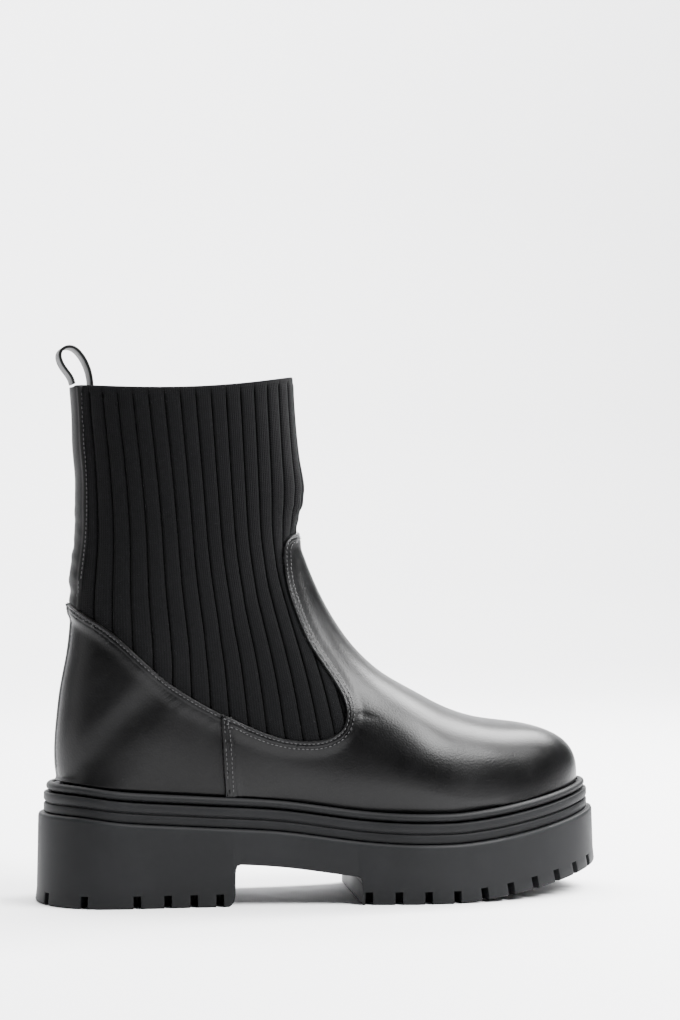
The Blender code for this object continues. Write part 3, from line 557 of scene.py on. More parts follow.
def face_out(bm):
    """Turn all faces to the side away from the middle."""
    bmesh.ops.recalc_face_normals(bm, faces=bm.faces)
    middle = sum((v.co for v in bm.verts), Vector()) / len(bm.verts)
    if sum(f.normal.dot(f.calc_center_median() - middle) * f.calc_area() for f in bm.faces) < 0:
        bmesh.ops.reverse_faces(bm, faces=bm.faces)
    bm.normal_update()


def sheet_from(grid):
    """Open mesh of a grid of points, with points that share a place joined and faces looking out."""
    rows, columns = grid.shape[:2]
    bm = bmesh.new()
    verts = [bm.verts.new(point) for point in grid.reshape(-1, 3)]
    for a in range(0, (rows - 1) * columns, columns):
        for i in range(a, a + columns - 1):
            bm.faces.new([verts[i], verts[i + 1], verts[i + columns + 1], verts[i + columns]])
    bmesh.ops.remove_doubles(bm, verts=bm.verts, dist=2e-5)
    bmesh.ops.dissolve_degenerate(bm, edges=bm.edges, dist=1e-6)
    face_out(bm)
    return bm


ROW_SPACING, HALF_COLUMNS = 0.0012, 84
whole = last_grid(ROW_SPACING, HALF_COLUMNS)
heel_row = len(whole) - len(spaced(HEEL_CORNER, LAST_ROW, ROW_SPACING))
whole = bridged(eased(whole, heel_row, 9, 8), heel_row, 17)
print("grid of the last", whole.shape)

# %% Edges as curves on the last
def edge_curve(table, steps):
    """Edge of the leather in the side view, as finely spaced places."""
    path = np.array([[float(v) for v in side_point(*point)] for point in table])
    return np.array(smooth_path(path, steps))


def on_side(path, outer):
    """A path of the side view as points of the last, on one side."""
    return on_last(path[:, 0], path[:, 1], np.full(len(path), outer))


def lifted(path):
    """A path of the side view on the outer and the inner side."""
    return [on_side(path, outer) for outer in (True, False)]


counter_line = edge_curve(COUNTER_EDGE, 300)
gore_line = edge_curve(VAMP_EDGE, 700)
seam_foot = np.array([float(v) for v in side_point(SEAM_FOOT, -0.06)])
seam_line = np.linspace(gore_line[0], seam_foot, 120)
leather_line = np.vstack([counter_line[:-1], gore_line])
print("edge of the leather", len(leather_line), "places")


def inside(outline_path, x, z):
    """Which places lie inside a closed outline of the side view."""
    result = np.zeros(np.shape(x), bool)
    x0, z0 = outline_path[-1]
    for x1, z1 in outline_path:
        crosses = (z0 > z) != (z1 > z)
        with np.errstate(divide="ignore", invalid="ignore"):
            result ^= crosses & (x < (x1 - x0) * (z - z0) / (z1 - z0) + x0)
        x0, z0 = x1, z1
    return result


def distance(points, curves):
    """Distance from each point to the nearest of the curves."""
    line = np.vstack(curves)
    tree = KDTree(len(line))
    for number, place in enumerate(line):
        tree.insert(place, number)
    tree.balance()
    return np.array([tree.find(point)[2] for point in points])


# %% Cut a sheet along levels of a value
ON_LEVEL = 3e-5


def slice_sheet(bm, layer, level):
    """Give the sheet an edge loop where its value passes a level."""
    on_level = []
    for vertex in bm.verts:
        if abs(vertex[layer] - level) < ON_LEVEL:
            vertex[layer] = level
            on_level.append(vertex)
    crossing = []
    for edge in bm.edges:
        a, b = edge.verts
        if (a[layer] - level) * (b[layer] - level) < 0:
            crossing.append((edge, a, (a[layer] - level) / (a[layer] - b[layer])))
    for edge, vertex, share in crossing:
        fresh = bmesh.utils.edge_split(edge, vertex, share)[1]
        fresh[layer] = level
        on_level.append(fresh)
    bmesh.ops.connect_verts(bm, verts=on_level)


def cut_sheet(inside_outline, curves, levels):
    """Sheet of the last inside an outline, with loops at the given distances from the edge curves."""
    bm = sheet_from(whole)
    layer = bm.verts.layers.float.new("edge")
    places = np.array([vertex.co for vertex in bm.verts])
    within = inside(inside_outline, places[:, 0], places[:, 2])
    far = distance(places, curves)
    for vertex, value, kept in zip(bm.verts, far, within):
        vertex[layer] = value if kept else -value
    for level in levels:
        slice_sheet(bm, layer, level)
    gone = [f for f in bm.faces if sum(v[layer] for v in f.verts) / len(f.verts) < 0]
    bmesh.ops.delete(bm, geom=gone, context="FACES")
    bm.normal_update()
    return bm


# %% [markdown]
# ## From a sheet to a piece of leather
# A real panel has two faces and a folded edge. Here the outer face is the sheet pushed outwards by the
# leather's thickness, the inner face stays close to the lining, and both meet along the cut edge in a
# quarter round. Waves and creases are added to the push, so they are shapes and not only shading.

# %% Thicken a sheet
def arrays(bm):
    """Places, normals and edge distances of a sheet as arrays."""
    layer = bm.verts.layers.float.get("edge")
    bm.verts.ensure_lookup_table()
    places = np.array([v.co for v in bm.verts])
    normals = np.array([v.normal for v in bm.verts])
    values = np.array([v[layer] for v in bm.verts]) if layer else np.zeros(len(places))
    return places, normals, values


def thickened(bm, outer_push, inner_push):
    """Close a sheet with an inner face. The pushes are outward distances for each point."""
    places, normals, _ = arrays(bm)
    count = len(places)
    faces = [[v.index for v in f.verts] for f in bm.faces]
    directed = []
    for edge in bm.edges:
        if edge.is_boundary:
            a, b = (vertex.index for vertex in edge.verts)
            order = [v.index for v in edge.link_faces[0].verts]
            forward = order[(order.index(a) + 1) % len(order)] == b
            directed.append((a, b) if forward else (b, a))
    points = np.vstack([places + normals * outer_push[:, None], places + normals * inner_push[:, None]])
    closed = faces + [[count + i for i in reversed(face)] for face in faces]
    closed += [[b, a, count + a, count + b] for a, b in directed]
    bm.free()
    return points, closed


def in_scene(name, data):
    """Object of a mesh, light or camera, linked into the scene."""
    item = bpy.data.objects.new(name, data)
    bpy.context.scene.collection.objects.link(item)
    return item


def piece(name, points, faces, material):
    """Object with its place in its mesh, drawn with the heel's end at x = 0."""
    mesh = bpy.data.meshes.new(name)
    mesh.from_pydata((np.asarray(points) - CENTRE).tolist(), [], [list(f) for f in faces])
    mesh.validate()
    mesh.materials.append(material)
    mesh.shade_smooth()
    print(name, len(mesh.polygons), "faces")
    return in_scene(name, mesh)

# %% [markdown]
# ## Finishes
# Smooth leather is a dark coat over fine grain: small cells with soft valleys between them, and broad
# patches that are a little more worn and duller. The same grain serves the vamp, counter, stay and loop,
# so it is one node group with its own inputs. Rubber, knit, lining and thread each need another recipe.

# %% Small helpers for node trees
def add_node(tree, kind, values=None, **settings):
    """Node with its settings and unlinked input values."""
    fresh = tree.nodes.new(kind)
    for name, value in settings.items():
        setattr(fresh, name, value)
    for name, value in (values or {}).items():
        fresh.inputs[name].default_value = value
    return fresh


def link(tree, source, target, output=0, entry=0):
    tree.links.new(source.outputs[output], target.inputs[entry])


def math_node(tree, operation, *entries, clamp=False):
    """Math node whose entries are numbers or (node, output) pairs."""
    fresh = add_node(tree, "ShaderNodeMath", operation=operation, use_clamp=clamp)
    for slot_number, entry in enumerate(entries):
        if isinstance(entry, tuple):
            link(tree, entry[0], fresh, entry[1], slot_number)
        else:
            fresh.inputs[slot_number].default_value = entry
    return fresh


def mixed(tree, share, source, first, second, target):
    """Mix two colour inputs of a group into its Colour output."""
    mix = add_node(tree, "ShaderNodeMix", data_type="RGBA")
    link(tree, share, mix, 0, 0)
    link(tree, source, mix, first, 6)
    link(tree, source, mix, second, 7)
    link(tree, mix, target, 2, "Colour")


def new_group(name, inputs, outputs):
    """Shader node group with named inputs and outputs."""
    tree = bpy.data.node_groups.new(name, "ShaderNodeTree")
    for label, kind, value in inputs:
        socket = tree.interface.new_socket(label, in_out="INPUT", socket_type=kind)
        if value is not None:
            socket.default_value = value
    for label, kind in outputs:
        tree.interface.new_socket(label, in_out="OUTPUT", socket_type=kind)
    return tree, tree.nodes.new("NodeGroupInput"), tree.nodes.new("NodeGroupOutput")


FLOAT, COLOR, VECTOR = "NodeSocketFloat", "NodeSocketColor", "NodeSocketVector"

# %% Grain of smooth leather
leather_grain, grain_in, grain_out = new_group(
    "leather_grain",
    [("Place", VECTOR, None), ("Grain Size", FLOAT, 0.0009), ("Colour", COLOR, (0.01, 0.01, 0.011, 1)),
     ("Worn Colour", COLOR, (0.03, 0.03, 0.032, 1)), ("Roughness", FLOAT, 0.36)],
    [("Colour", COLOR), ("Roughness", FLOAT), ("Height", FLOAT)],
)
scale = math_node(leather_grain, "DIVIDE", 1.0, (grain_in, 1))
cells = add_node(leather_grain, "ShaderNodeTexVoronoi", feature="SMOOTH_F1")
cells.inputs["Smoothness"].default_value = 0.5
wander = add_node(leather_grain, "ShaderNodeTexNoise", {"Scale": 900.0, "Detail": 2.0})
patches = add_node(leather_grain, "ShaderNodeTexNoise", {"Scale": 28.0, "Detail": 3.0, "Roughness": 0.6})
for texture in (cells, wander, patches):
    link(leather_grain, grain_in, texture, 0, "Vector")
link(leather_grain, scale, cells, 0, "Scale")
fine_part = math_node(leather_grain, "MULTIPLY", (wander, 0), 0.35)
height = math_node(leather_grain, "SUBTRACT", (fine_part, 0), (cells, "Distance"))
patchy = add_node(leather_grain, "ShaderNodeMapRange", {"From Min": 0.42, "From Max": 0.72})
link(leather_grain, patches, patchy, 0, "Value")
mixed(leather_grain, patchy, grain_in, "Colour", "Worn Colour", grain_out)
dull = math_node(leather_grain, "MULTIPLY", (patchy, 0), 0.10)
pits = math_node(leather_grain, "MULTIPLY", (cells, "Distance"), 0.08)
rough = math_node(leather_grain, "ADD", (grain_in, 4), (dull, 0))
rough = math_node(leather_grain, "ADD", (rough, 0), (pits, 0), clamp=True)
link(leather_grain, rough, grain_out, 0, "Roughness")
link(leather_grain, height, grain_out, 0, "Height")


# %% Materials that a group feeds
def surface(name, color, **sockets):
    """Material with a Principled BSDF, and its tree and shader."""
    material = bpy.data.materials.new(name)
    material.use_nodes = True
    material.diffuse_color = color
    shader = material.node_tree.nodes["Principled BSDF"]
    shader.inputs["Base Color"].default_value = color
    for label, value in sockets.items():
        shader.inputs[label.replace("_", " ")].default_value = value
    return material, material.node_tree, shader


def bump(tree, shader, source, output, depth):
    """Bump of a depth in metres from a height output."""
    relief = add_node(tree, "ShaderNodeBump", {"Strength": 1.0, "Distance": depth})
    link(tree, source, relief, output, "Height")
    link(tree, relief, shader, 0, "Normal")


def dressed(name, group, uv_map, values, depth, **sockets):
    """Material whose colour, roughness and relief come from a group, by object place or a map."""
    material, tree, shader = surface(name, values["Colour"], **sockets)
    maker = add_node(tree, "ShaderNodeGroup", values, node_tree=group)
    if uv_map:
        link(tree, add_node(tree, "ShaderNodeUVMap", uv_map=uv_map), maker)
    else:
        link(tree, add_node(tree, "ShaderNodeTexCoord"), maker, "Object")
    link(tree, maker, shader, "Colour", "Base Color")
    if "Roughness" in maker.outputs:
        link(tree, maker, shader, "Roughness", "Roughness")
    bump(tree, shader, maker, "Height", depth)
    return material


# %% Black leathers
BLACK, WORN_BLACK = (0.0008, 0.0008, 0.0009, 1), (0.0018, 0.0018, 0.0020, 1)
leathers = []
for name, grain_size, roughness, depth, coat in (
    ("vamp_leather", 0.0009, 0.27, 0.00005, 0.03),
    ("counter_leather", 0.0010, 0.34, 0.00005, 0.02),
    ("stay_leather", 0.0008, 0.48, 0.00004, 0.0),
):
    values = {"Grain Size": grain_size, "Colour": BLACK, "Worn Colour": WORN_BLACK, "Roughness": roughness}
    sockets = {"Roughness": roughness, "Coat_Weight": coat, "Coat_Roughness": 0.28}
    sockets["Specular_IOR_Level"] = 0.15
    leathers.append(dressed(name, leather_grain, None, values, depth, **sockets))
vamp_leather, counter_leather, stay_leather = leathers
print("leather materials", [material.name for material in leathers])

# %% Matt rubber with a moulded skin
rubber_skin, skin_in, skin_out = new_group(
    "rubber_skin",
    [("Place", VECTOR, None), ("Colour", COLOR, (0.03, 0.03, 0.032, 1)),
     ("Scuff Colour", COLOR, (0.06, 0.06, 0.062, 1))],
    [("Colour", COLOR), ("Roughness", FLOAT), ("Height", FLOAT)],
)
stipple = add_node(rubber_skin, "ShaderNodeTexNoise", {"Scale": 1600.0, "Detail": 2.0})
cloud = add_node(rubber_skin, "ShaderNodeTexNoise", {"Scale": 40.0, "Detail": 5.0, "Roughness": 0.62})
for texture in (stipple, cloud):
    link(rubber_skin, skin_in, texture, 0, "Vector")
scuffed = add_node(rubber_skin, "ShaderNodeMapRange", {"From Min": 0.45, "From Max": 0.85})
link(rubber_skin, cloud, scuffed, 0, "Value")
mixed(rubber_skin, scuffed, skin_in, "Colour", "Scuff Colour", skin_out)
rough = math_node(rubber_skin, "MULTIPLY_ADD", (cloud, 0), 0.22, 0.46)
link(rubber_skin, rough, skin_out, 0, "Roughness")
link(rubber_skin, stipple, skin_out, 0, "Height")


outsole_rubber, midsole_rubber = (
    dressed(
        name, rubber_skin, None, {"Colour": color, "Scuff Colour": scuff}, 0.00002,
        Roughness=0.6, Specular_IOR_Level=0.14,
    )
    for name, color, scuff in (
        ("outsole_rubber", (0.0052, 0.0055, 0.0060, 1), (0.0080, 0.0083, 0.0091, 1)),
        ("midsole_rubber", (0.0042, 0.0044, 0.0048, 1), (0.0068, 0.0070, 0.0077, 1)),
    )
)
print("rubber materials", outsole_rubber.name, midsole_rubber.name)

# %% Knit: wales and courses on a map that follows the ribs
WALES_PER_RIB = 7
COURSE = 0.00085
knit_stitch, stitch_in, stitch_out = new_group(
    "knit_stitch",
    [("Map", VECTOR, None), ("Wales", FLOAT, 7.0), ("Colour", COLOR, (0.016, 0.017, 0.018, 1)),
     ("Painted Shade Colour", COLOR, (0.003, 0.003, 0.003, 1)), ("Groove Share", FLOAT, 0.12)],
    [("Colour", COLOR), ("Height", FLOAT)],
)
parts = add_node(knit_stitch, "ShaderNodeSeparateXYZ")
link(knit_stitch, stitch_in, parts, 0, 0)
wale = math_node(knit_stitch, "MULTIPLY", (parts, 0), (stitch_in, 1))
across = math_node(knit_stitch, "PINGPONG", (wale, 0), 0.5)
slant = math_node(knit_stitch, "MULTIPLY", (across, 0), 0.9)
course = math_node(knit_stitch, "ADD", (parts, 1), (slant, 0))
along = math_node(knit_stitch, "PINGPONG", (course, 0), 0.5)
arches = [
    math_node(knit_stitch, "SINE", (math_node(knit_stitch, "MULTIPLY", (part, 0), math.pi), 0))
    for part in (across, along)
]
loops = math_node(knit_stitch, "MULTIPLY", (arches[0], 0), (arches[1], 0))
fuzz = add_node(knit_stitch, "ShaderNodeTexNoise", {"Scale": 9.0, "Detail": 4.0, "Roughness": 0.7})
link(knit_stitch, stitch_in, fuzz, 0, "Vector")
fuzzy = math_node(knit_stitch, "MULTIPLY_ADD", (fuzz, 0), 0.5, (loops, 0))
rib_edge = math_node(knit_stitch, "PINGPONG", (parts, 0), 0.5)
in_groove = math_node(knit_stitch, "DIVIDE", (rib_edge, 0), (stitch_in, 4), clamp=True)
on_top = math_node(knit_stitch, "MULTIPLY_ADD", (fuzzy, 0), 0.9, -0.1, clamp=True)
lit = math_node(knit_stitch, "MULTIPLY", (on_top, 0), (in_groove, 0))
# Colour falls to a painted shade in the rib grooves and between the stitch loops; the fuzz noise adds random
# tone.
mixed(knit_stitch, lit, stitch_in, "Painted Shade Colour", "Colour", stitch_out)
link(knit_stitch, fuzzy, stitch_out, 0, "Height")


rib_knit, lining_knit = (
    dressed(
        name, knit_stitch, "along_ribs", {"Wales": wales, "Colour": yarn, "Painted Shade Colour": groove_shade}, depth,
        Roughness=0.92, Sheen_Weight=0.01, Sheen_Roughness=0.5, Specular_IOR_Level=0.08,
    )
    for name, wales, yarn, groove_shade, depth in (
        # Each knit's second colour is a painted shade for its grooves and the gaps between its loops.
        ("rib_knit", WALES_PER_RIB, (0.0040, 0.0042, 0.0047, 1), (0.0002, 0.0002, 0.0002, 1), 0.00018),
        ("lining_knit", 12, (0.014, 0.0145, 0.016, 1), (0.005, 0.005, 0.005, 1), 0.00010),
    )
)

# %% Sewing thread
thread, thread_tree, thread_shader = surface("sewing_thread", (0.022, 0.022, 0.023, 1), Roughness=0.55)
ply = add_node(thread_tree, "ShaderNodeTexNoise", {"Scale": 2600.0, "Detail": 2.0})
link(thread_tree, add_node(thread_tree, "ShaderNodeTexCoord"), ply, "Object", "Vector")
shade = add_node(
    thread_tree, "ShaderNodeMapRange", {"From Min": 0.3, "From Max": 0.7, "To Min": 0.45, "To Max": 0.7}
)
link(thread_tree, ply, shade, 0, "Value")
link(thread_tree, shade, thread_shader, 0, "Roughness")
bump(thread_tree, thread_shader, ply, 0, 0.00005)
print("knit and thread", rib_knit.name, thread.name)

# %% [markdown]
# ## The sole
# A moulded sole is one outline repeated at several heights, each a little further in or out. Rings of
# points at those heights give the block, the stepped bands and the bead, with the small radii that a
# mould leaves. The arch and the lug gaps are cut from the block with Booleans, then beveled softly.

# %% Rings stacked into a solid
def stacked(levels, stations, hole=None):
    """Points and faces between stacked outlines. A level is an inset and a height function."""
    turns = math.pi * np.arange(2 * stations) / stations
    count = len(turns)

    def rings(stack):
        result = []
        for inset, height in stack:
            flat = outline(turns, inset)
            result.append(np.column_stack([flat, height(flat[:, 0])]))
        return result

    loops = rings(levels)
    if hole:
        loops += rings(hole)[::-1]
    points = np.vstack(loops)
    faces = []
    total = len(loops)
    for row in range(total if hole else total - 1):
        below_row, above = row * count, (row + 1) % total * count
        for i in range(count):
            j = (i + 1) % count
            faces.append((below_row + i, below_row + j, above + j, above + i))
    if not hole:
        for base, flip in ((0, True), ((total - 1) * count, False)):
            for i in range(stations):
                a, b = base + i, base + i + 1
                c, d = base + (count - i - 1) % count, base + (count - i) % count
                face = (a, b, c, d) if 0 < i < stations - 1 else ((a, b, d) if i else (a, b, c))
                faces.append(face[::-1] if flip else face)
    return points, faces


def outward(item):
    """Recalculate a closed piece's normals."""
    bm = bmesh.new()
    bm.from_mesh(item.data)
    bmesh.ops.remove_doubles(bm, verts=bm.verts, dist=1e-6)
    bmesh.ops.recalc_face_normals(bm, faces=bm.faces)
    bm.to_mesh(item.data)
    bm.free()
    item.data.shade_smooth()
    item.data.set_sharp_from_angle(angle=math.radians(38))
    return item


def as_mesh(item):
    """Apply a piece's modifiers by taking its evaluated mesh."""
    graph = bpy.context.evaluated_depsgraph_get()
    fresh = bpy.data.meshes.new_from_object(item.evaluated_get(graph))
    item.modifiers.clear()
    item.data = fresh
    return item


def rounded(item, width, angle):
    """Bevel the edges that turn by more than an angle."""
    edge = item.modifiers.new("rounded_edges", "BEVEL")
    edge.width = width
    edge.segments = 2
    edge.limit_method = "ANGLE"
    edge.angle_limit = math.radians(angle)
    edge.harden_normals = False
    return as_mesh(item)


def cut_by(item, tool):
    """Boolean difference with a closed form that isn't kept."""
    change = item.modifiers.new(tool.name, "BOOLEAN")
    change.operation = "DIFFERENCE"
    change.solver = "EXACT"
    change.object = tool
    as_mesh(item)
    bpy.data.objects.remove(tool)


def over(base, height):
    """Height function that lies a constant height over another."""
    return lambda x: base(x) + height


# %% Outsole block
FOOT_ROUND = 0.0011
SOLE_STATIONS, ARCH_STEPS = 110, 56
block = [
    (FOOT_ROUND, toe_lift),
    (FOOT_ROUND * 0.3, over(toe_lift, FOOT_ROUND * 0.3)),
    (0.0, over(toe_lift, FOOT_ROUND)),
    (WALL_FLARE * 0.35, over(toe_lift, LUG_DEPTH - 0.0006)),
    (WALL_FLARE * 0.45, over(toe_lift, LUG_DEPTH + 0.0012)),
    (WALL_FLARE * 0.9, over(ledge, -0.0022)),
    (WALL_FLARE, over(ledge, -0.0012)),
    (WALL_FLARE + 0.0004, over(ledge, -0.0004)),
    (WALL_FLARE + 0.0012, ledge),
]
outsole = outward(piece("boot_outsole", *stacked(block, SOLE_STATIONS), outsole_rubber))

# %% Space under the arch
arch_points = []
for number, reach in ((0, -BALL_WIDTH * 0.6), (1, BALL_WIDTH * 0.6)):
    along = np.array(column(ARCH, number)) * SOLE_LENGTH
    rise = (ledge(along) - SHANK_THICKNESS) * np.array(column(ARCH, 2))
    arch_points += [(x, reach, z) for x, z in smooth_path(np.column_stack([along, rise]), ARCH_STEPS)]
arch_faces = [tuple(range(ARCH_STEPS)), tuple(range(2 * ARCH_STEPS - 1, ARCH_STEPS - 1, -1))]
for i in range(ARCH_STEPS):
    j = (i + 1) % ARCH_STEPS
    arch_faces.append((i, j, ARCH_STEPS + j, ARCH_STEPS + i))
cut_by(outsole, outward(piece("arch_space", arch_points, arch_faces, outsole_rubber)))
print("outsole under the arch", len(outsole.data.polygons), "faces")

# %% [markdown]
# ## Lug gaps by Geometry Nodes
# The gaps between the lugs repeat along the outline, so a node tree places one cutter at each point of
# a path and turns it to the outline. The heel's gaps are unevenly spaced, so their places come from a
# table, and those in front come from an even pitch. The gaps' size is an input of the tree.

# %% Places of the lug gaps
def turn_at(share):
    """Turn of the outline at a share of the sole's length."""
    return math.acos(1 - 2 * share)


OUTER_FIRST_GAP = 0.5480
gap_turns = []
for share in HEEL_GAPS:
    gap_turns += [turn_at(share), 2 * math.pi - turn_at(share)]
walk = np.linspace(turn_at(FORE_GAP_FIRST), math.pi, 900)
for direction in (1, -1):
    path = plan_points(direction * walk)
    walked = walked_along(path)
    stops = np.arange(0, walked[-1] - 0.004, FORE_GAP_PITCH)
    gap_turns += [direction * float(np.interp(stop, walked, walk)) for stop in stops]
gap_turns.append(turn_at(OUTER_FIRST_GAP))
gap_turns = np.array(gap_turns)
edge_places = outline(gap_turns, 0.0)
inner_places = outline(gap_turns, LUG_REACH)
print(len(gap_turns), "lug gaps")


# %% Helpers for node trees that make shapes
def shape_tree(name, inputs):
    """Geometry node tree with a geometry input and named sizes."""
    tree = bpy.data.node_groups.new(name, "GeometryNodeTree")
    tree.interface.new_socket("Geometry", in_out="INPUT", socket_type="NodeSocketGeometry")
    for label, kind, value in inputs:
        socket = tree.interface.new_socket(label, in_out="INPUT", socket_type=kind)
        if value is not None:
            socket.default_value = value
    tree.interface.new_socket("Geometry", in_out="OUTPUT", socket_type="NodeSocketGeometry")
    return tree, tree.nodes.new("NodeGroupInput"), tree.nodes.new("NodeGroupOutput")


def finish_tree(tree, group_in, group_out, source):
    """End a tree in Realize Instances and Set Material."""
    real = tree.nodes.new("GeometryNodeRealizeInstances")
    paint = tree.nodes.new("GeometryNodeSetMaterial")
    link(tree, source, real)
    link(tree, real, paint)
    link(tree, group_in, paint, "Material", "Material")
    link(tree, paint, group_out)


def grown(item, tree, values):
    """Run a tree on an object with input values, and keep the result as a plain mesh."""
    maker = item.modifiers.new(tree.name, "NODES")
    maker.node_group = tree
    for socket in tree.interface.items_tree:
        if socket.in_out == "INPUT" and socket.name in values:
            maker[socket.identifier] = values[socket.name]
    return as_mesh(item)


def path_points(name, places, tangents, normals):
    """Loose points that carry a direction and a normal for a node tree."""
    mesh = bpy.data.meshes.new(name)
    mesh.from_pydata((np.asarray(places) - CENTRE).tolist(), [], [])
    for label, data in (("tangent", tangents), ("normal", normals)):
        layer = mesh.attributes.new(label, "FLOAT_VECTOR", "POINT")
        layer.data.foreach_set("vector", np.asarray(data, float).ravel())
    return in_scene(name, mesh)


def named(tree, label, kind):
    """Node that reads a named attribute."""
    return add_node(tree, "GeometryNodeInputNamedAttribute", {"Name": label}, data_type=kind)


def placed_along(tree, points_source, form):
    """Instance a form on points, its X along the tangent and its Z along the normal."""
    spread = tree.nodes.new("GeometryNodeInstanceOnPoints")
    turn = None
    for axis, label in (("X", "tangent"), ("Z", "normal")):
        align = add_node(tree, "FunctionNodeAlignRotationToVector", axis=axis)
        if axis == "Z":
            align.pivot_axis = "X"
            link(tree, turn, align, 0, "Rotation")
        link(tree, named(tree, label, "FLOAT_VECTOR"), align, 0, "Vector")
        turn = align
    link(tree, points_source, spread, 0, "Points")
    link(tree, form, spread, 0, "Instance")
    link(tree, turn, spread, 0, "Rotation")
    return spread


# %% Cut the lug gaps
CUTTER_LENGTH, CUTTER_HEIGHT, LUG_ROUND = 0.016, 0.012, 0.0005
gap_tree, gap_in, gap_out = shape_tree(
    "lug_gap_cutters",
    [("Size", "NodeSocketVector", (0.02, 0.0038, 0.012)), ("Material", "NodeSocketMaterial", None)],
)
box = gap_tree.nodes.new("GeometryNodeMeshCube")
link(gap_tree, gap_in, box, "Size", "Size")
spread = placed_along(gap_tree, gap_in, box)
finish_tree(gap_tree, gap_in, gap_out, spread)
inward = inner_places - edge_places
inward /= np.linalg.norm(inward, axis=1, keepdims=True)
middle = edge_places + inward * (LUG_REACH - CUTTER_LENGTH / 2)
height = toe_lift(middle[:, 0]) + LUG_DEPTH - CUTTER_HEIGHT / 2
slope = (toe_lift(middle[:, 0] + 0.002) - toe_lift(middle[:, 0] - 0.002)) / 0.004
tangents = np.column_stack([inward, inward[:, 0] * slope])
normals = np.column_stack([-slope, np.zeros(len(slope)), np.ones(len(slope))])
cutters = path_points("lug_gap_places", np.column_stack([middle, height]), tangents, normals)
grown(cutters, gap_tree, {"Size": (CUTTER_LENGTH, LUG_GAP, CUTTER_HEIGHT), "Material": outsole_rubber})
cut_by(outsole, cutters)
outward(outsole)
rounded(outsole, LUG_ROUND, 40)
outward(outsole)
print("outsole", len(outsole.data.polygons), "faces")

# %% Midsole bands
LOWER_BAND_SHARE, BAND_GROOVE, GROOVE_DEPTH, WELT_LIP, SEAT_CLEAR = 0.50, 0.0008, 0.0014, 0.0030, 0.0008
BAND_ROUND = 0.0009


def band(bottom, top, inset):
    """Levels of one band with rounded corners, from its lower groove to its upper one."""
    levels = [(inset + GROOVE_DEPTH, over(ledge, bottom))]
    for corner, sign in ((bottom, 1), (top, -1)):
        bend = [
            (inset + BAND_ROUND, over(ledge, corner)),
            (inset + BAND_ROUND * 0.3, over(ledge, corner + sign * BAND_ROUND * 0.3)),
            (inset, over(ledge, corner + sign * BAND_ROUND)),
        ]
        levels += bend if sign > 0 else bend[::-1]
    return levels + [(inset + GROOVE_DEPTH, over(ledge, top))]


split = MIDSOLE_HEIGHT * LOWER_BAND_SHARE
core_inset = UPPER_INSET + WELT_LIP
bands = band(GAP, split - BAND_GROOVE / 2, MIDSOLE_INSET)
bands += band(split + BAND_GROOVE / 2, MIDSOLE_HEIGHT - BAND_GROOVE / 2, MIDSOLE_INSET)
for level in (over(ledge, MIDSOLE_HEIGHT - GAP / 2), over(seat, -WELT_SEAT)):
    bands.append((core_inset + GAP, level))
midsole = outward(piece("boot_midsole", *stacked(bands, SOLE_STATIONS), midsole_rubber))

# %% Welt bead
def bead_level(angle):
    """Level of the bead at an angle round its middle."""
    radius = WELT_HEIGHT / 2 - GAP / 2
    inset = WELT_INSET + radius - radius * math.cos(angle)
    return inset, over(seat, -WELT_HEIGHT / 2 + GAP / 4 + radius * math.sin(angle))


bead = [(core_inset, over(seat, -WELT_HEIGHT + GAP / 2))]
bead += [bead_level(angle) for angle in np.radians([-90, -65, -40, -15, 10, 35, 60, 85])]
bead += [(UPPER_INSET - SEAT_CLEAR, over(seat, -0.0003))]
seat_ring = [(inset, over(seat, -WELT_SEAT)) for inset in (core_inset, UPPER_INSET - SEAT_CLEAR)]
welt = outward(piece("boot_welt", *stacked(bead, SOLE_STATIONS, seat_ring), midsole_rubber))

# %% Insole
INSOLE_THICKNESS, LINING_WALL, INSOLE_CLEAR = 0.0035, 0.0013, 0.0012
insole_inset = LAST_INSET + LINING_WALL + INSOLE_CLEAR
cushion = [
    (insole_inset + inwards, over(seat, -WELT_SEAT + GAP + INSOLE_THICKNESS * share))
    for inwards, share in ((0.0, 0.0), (0.0, 0.6), (0.0006, 0.9), (0.0018, 1.0))
]
insole = outward(piece("boot_insole", *stacked(cushion, SOLE_STATIONS), lining_knit))

# %% [markdown]
# ## Lining
# The lining is the inner wall of the whole boot, from the sole up to the collar. It carries nothing
# and only shows inside the collar, so it is the last's own surface with a small thickness.

# %% Lining
LINING_DROP = 0.0045
kept_rows = np.unique(np.linspace(0, len(whole) - 1, len(whole) // 2).round().astype(int))
grid = whole[kept_rows][:, ::2].copy()
grid[-2:, :, 2] -= np.linspace(LINING_DROP / 2, LINING_DROP, 2)[:, None]
bm = sheet_from(grid)
places, normals, _ = arrays(bm)
pushes = [np.full(len(places), push) for push in (-0.0002, -LINING_WALL)]
lining = piece("boot_lining", *thickened(bm, *pushes), lining_knit)

# %% [markdown]
# ## Leather: counter and vamp
# The counter wraps the heel and the vamp covers the toe, the instep and the tab that reaches up the
# front. Where they overlap the knit they ride over it, so their edges stand a little higher than the
# rest. A folded edge is thicker than the panel, and the stitch rows pull a shallow valley beside it.

# %% Push of a leather panel, from the distance to its edge
FOLD_ROUND = 0.0007
RIDE_OVER, RIDE_WIDTH = 0.0012, 0.009
ROW_NEAR, ROW_FAR, ROW_DIP = 0.0017, 0.0036, 0.00018


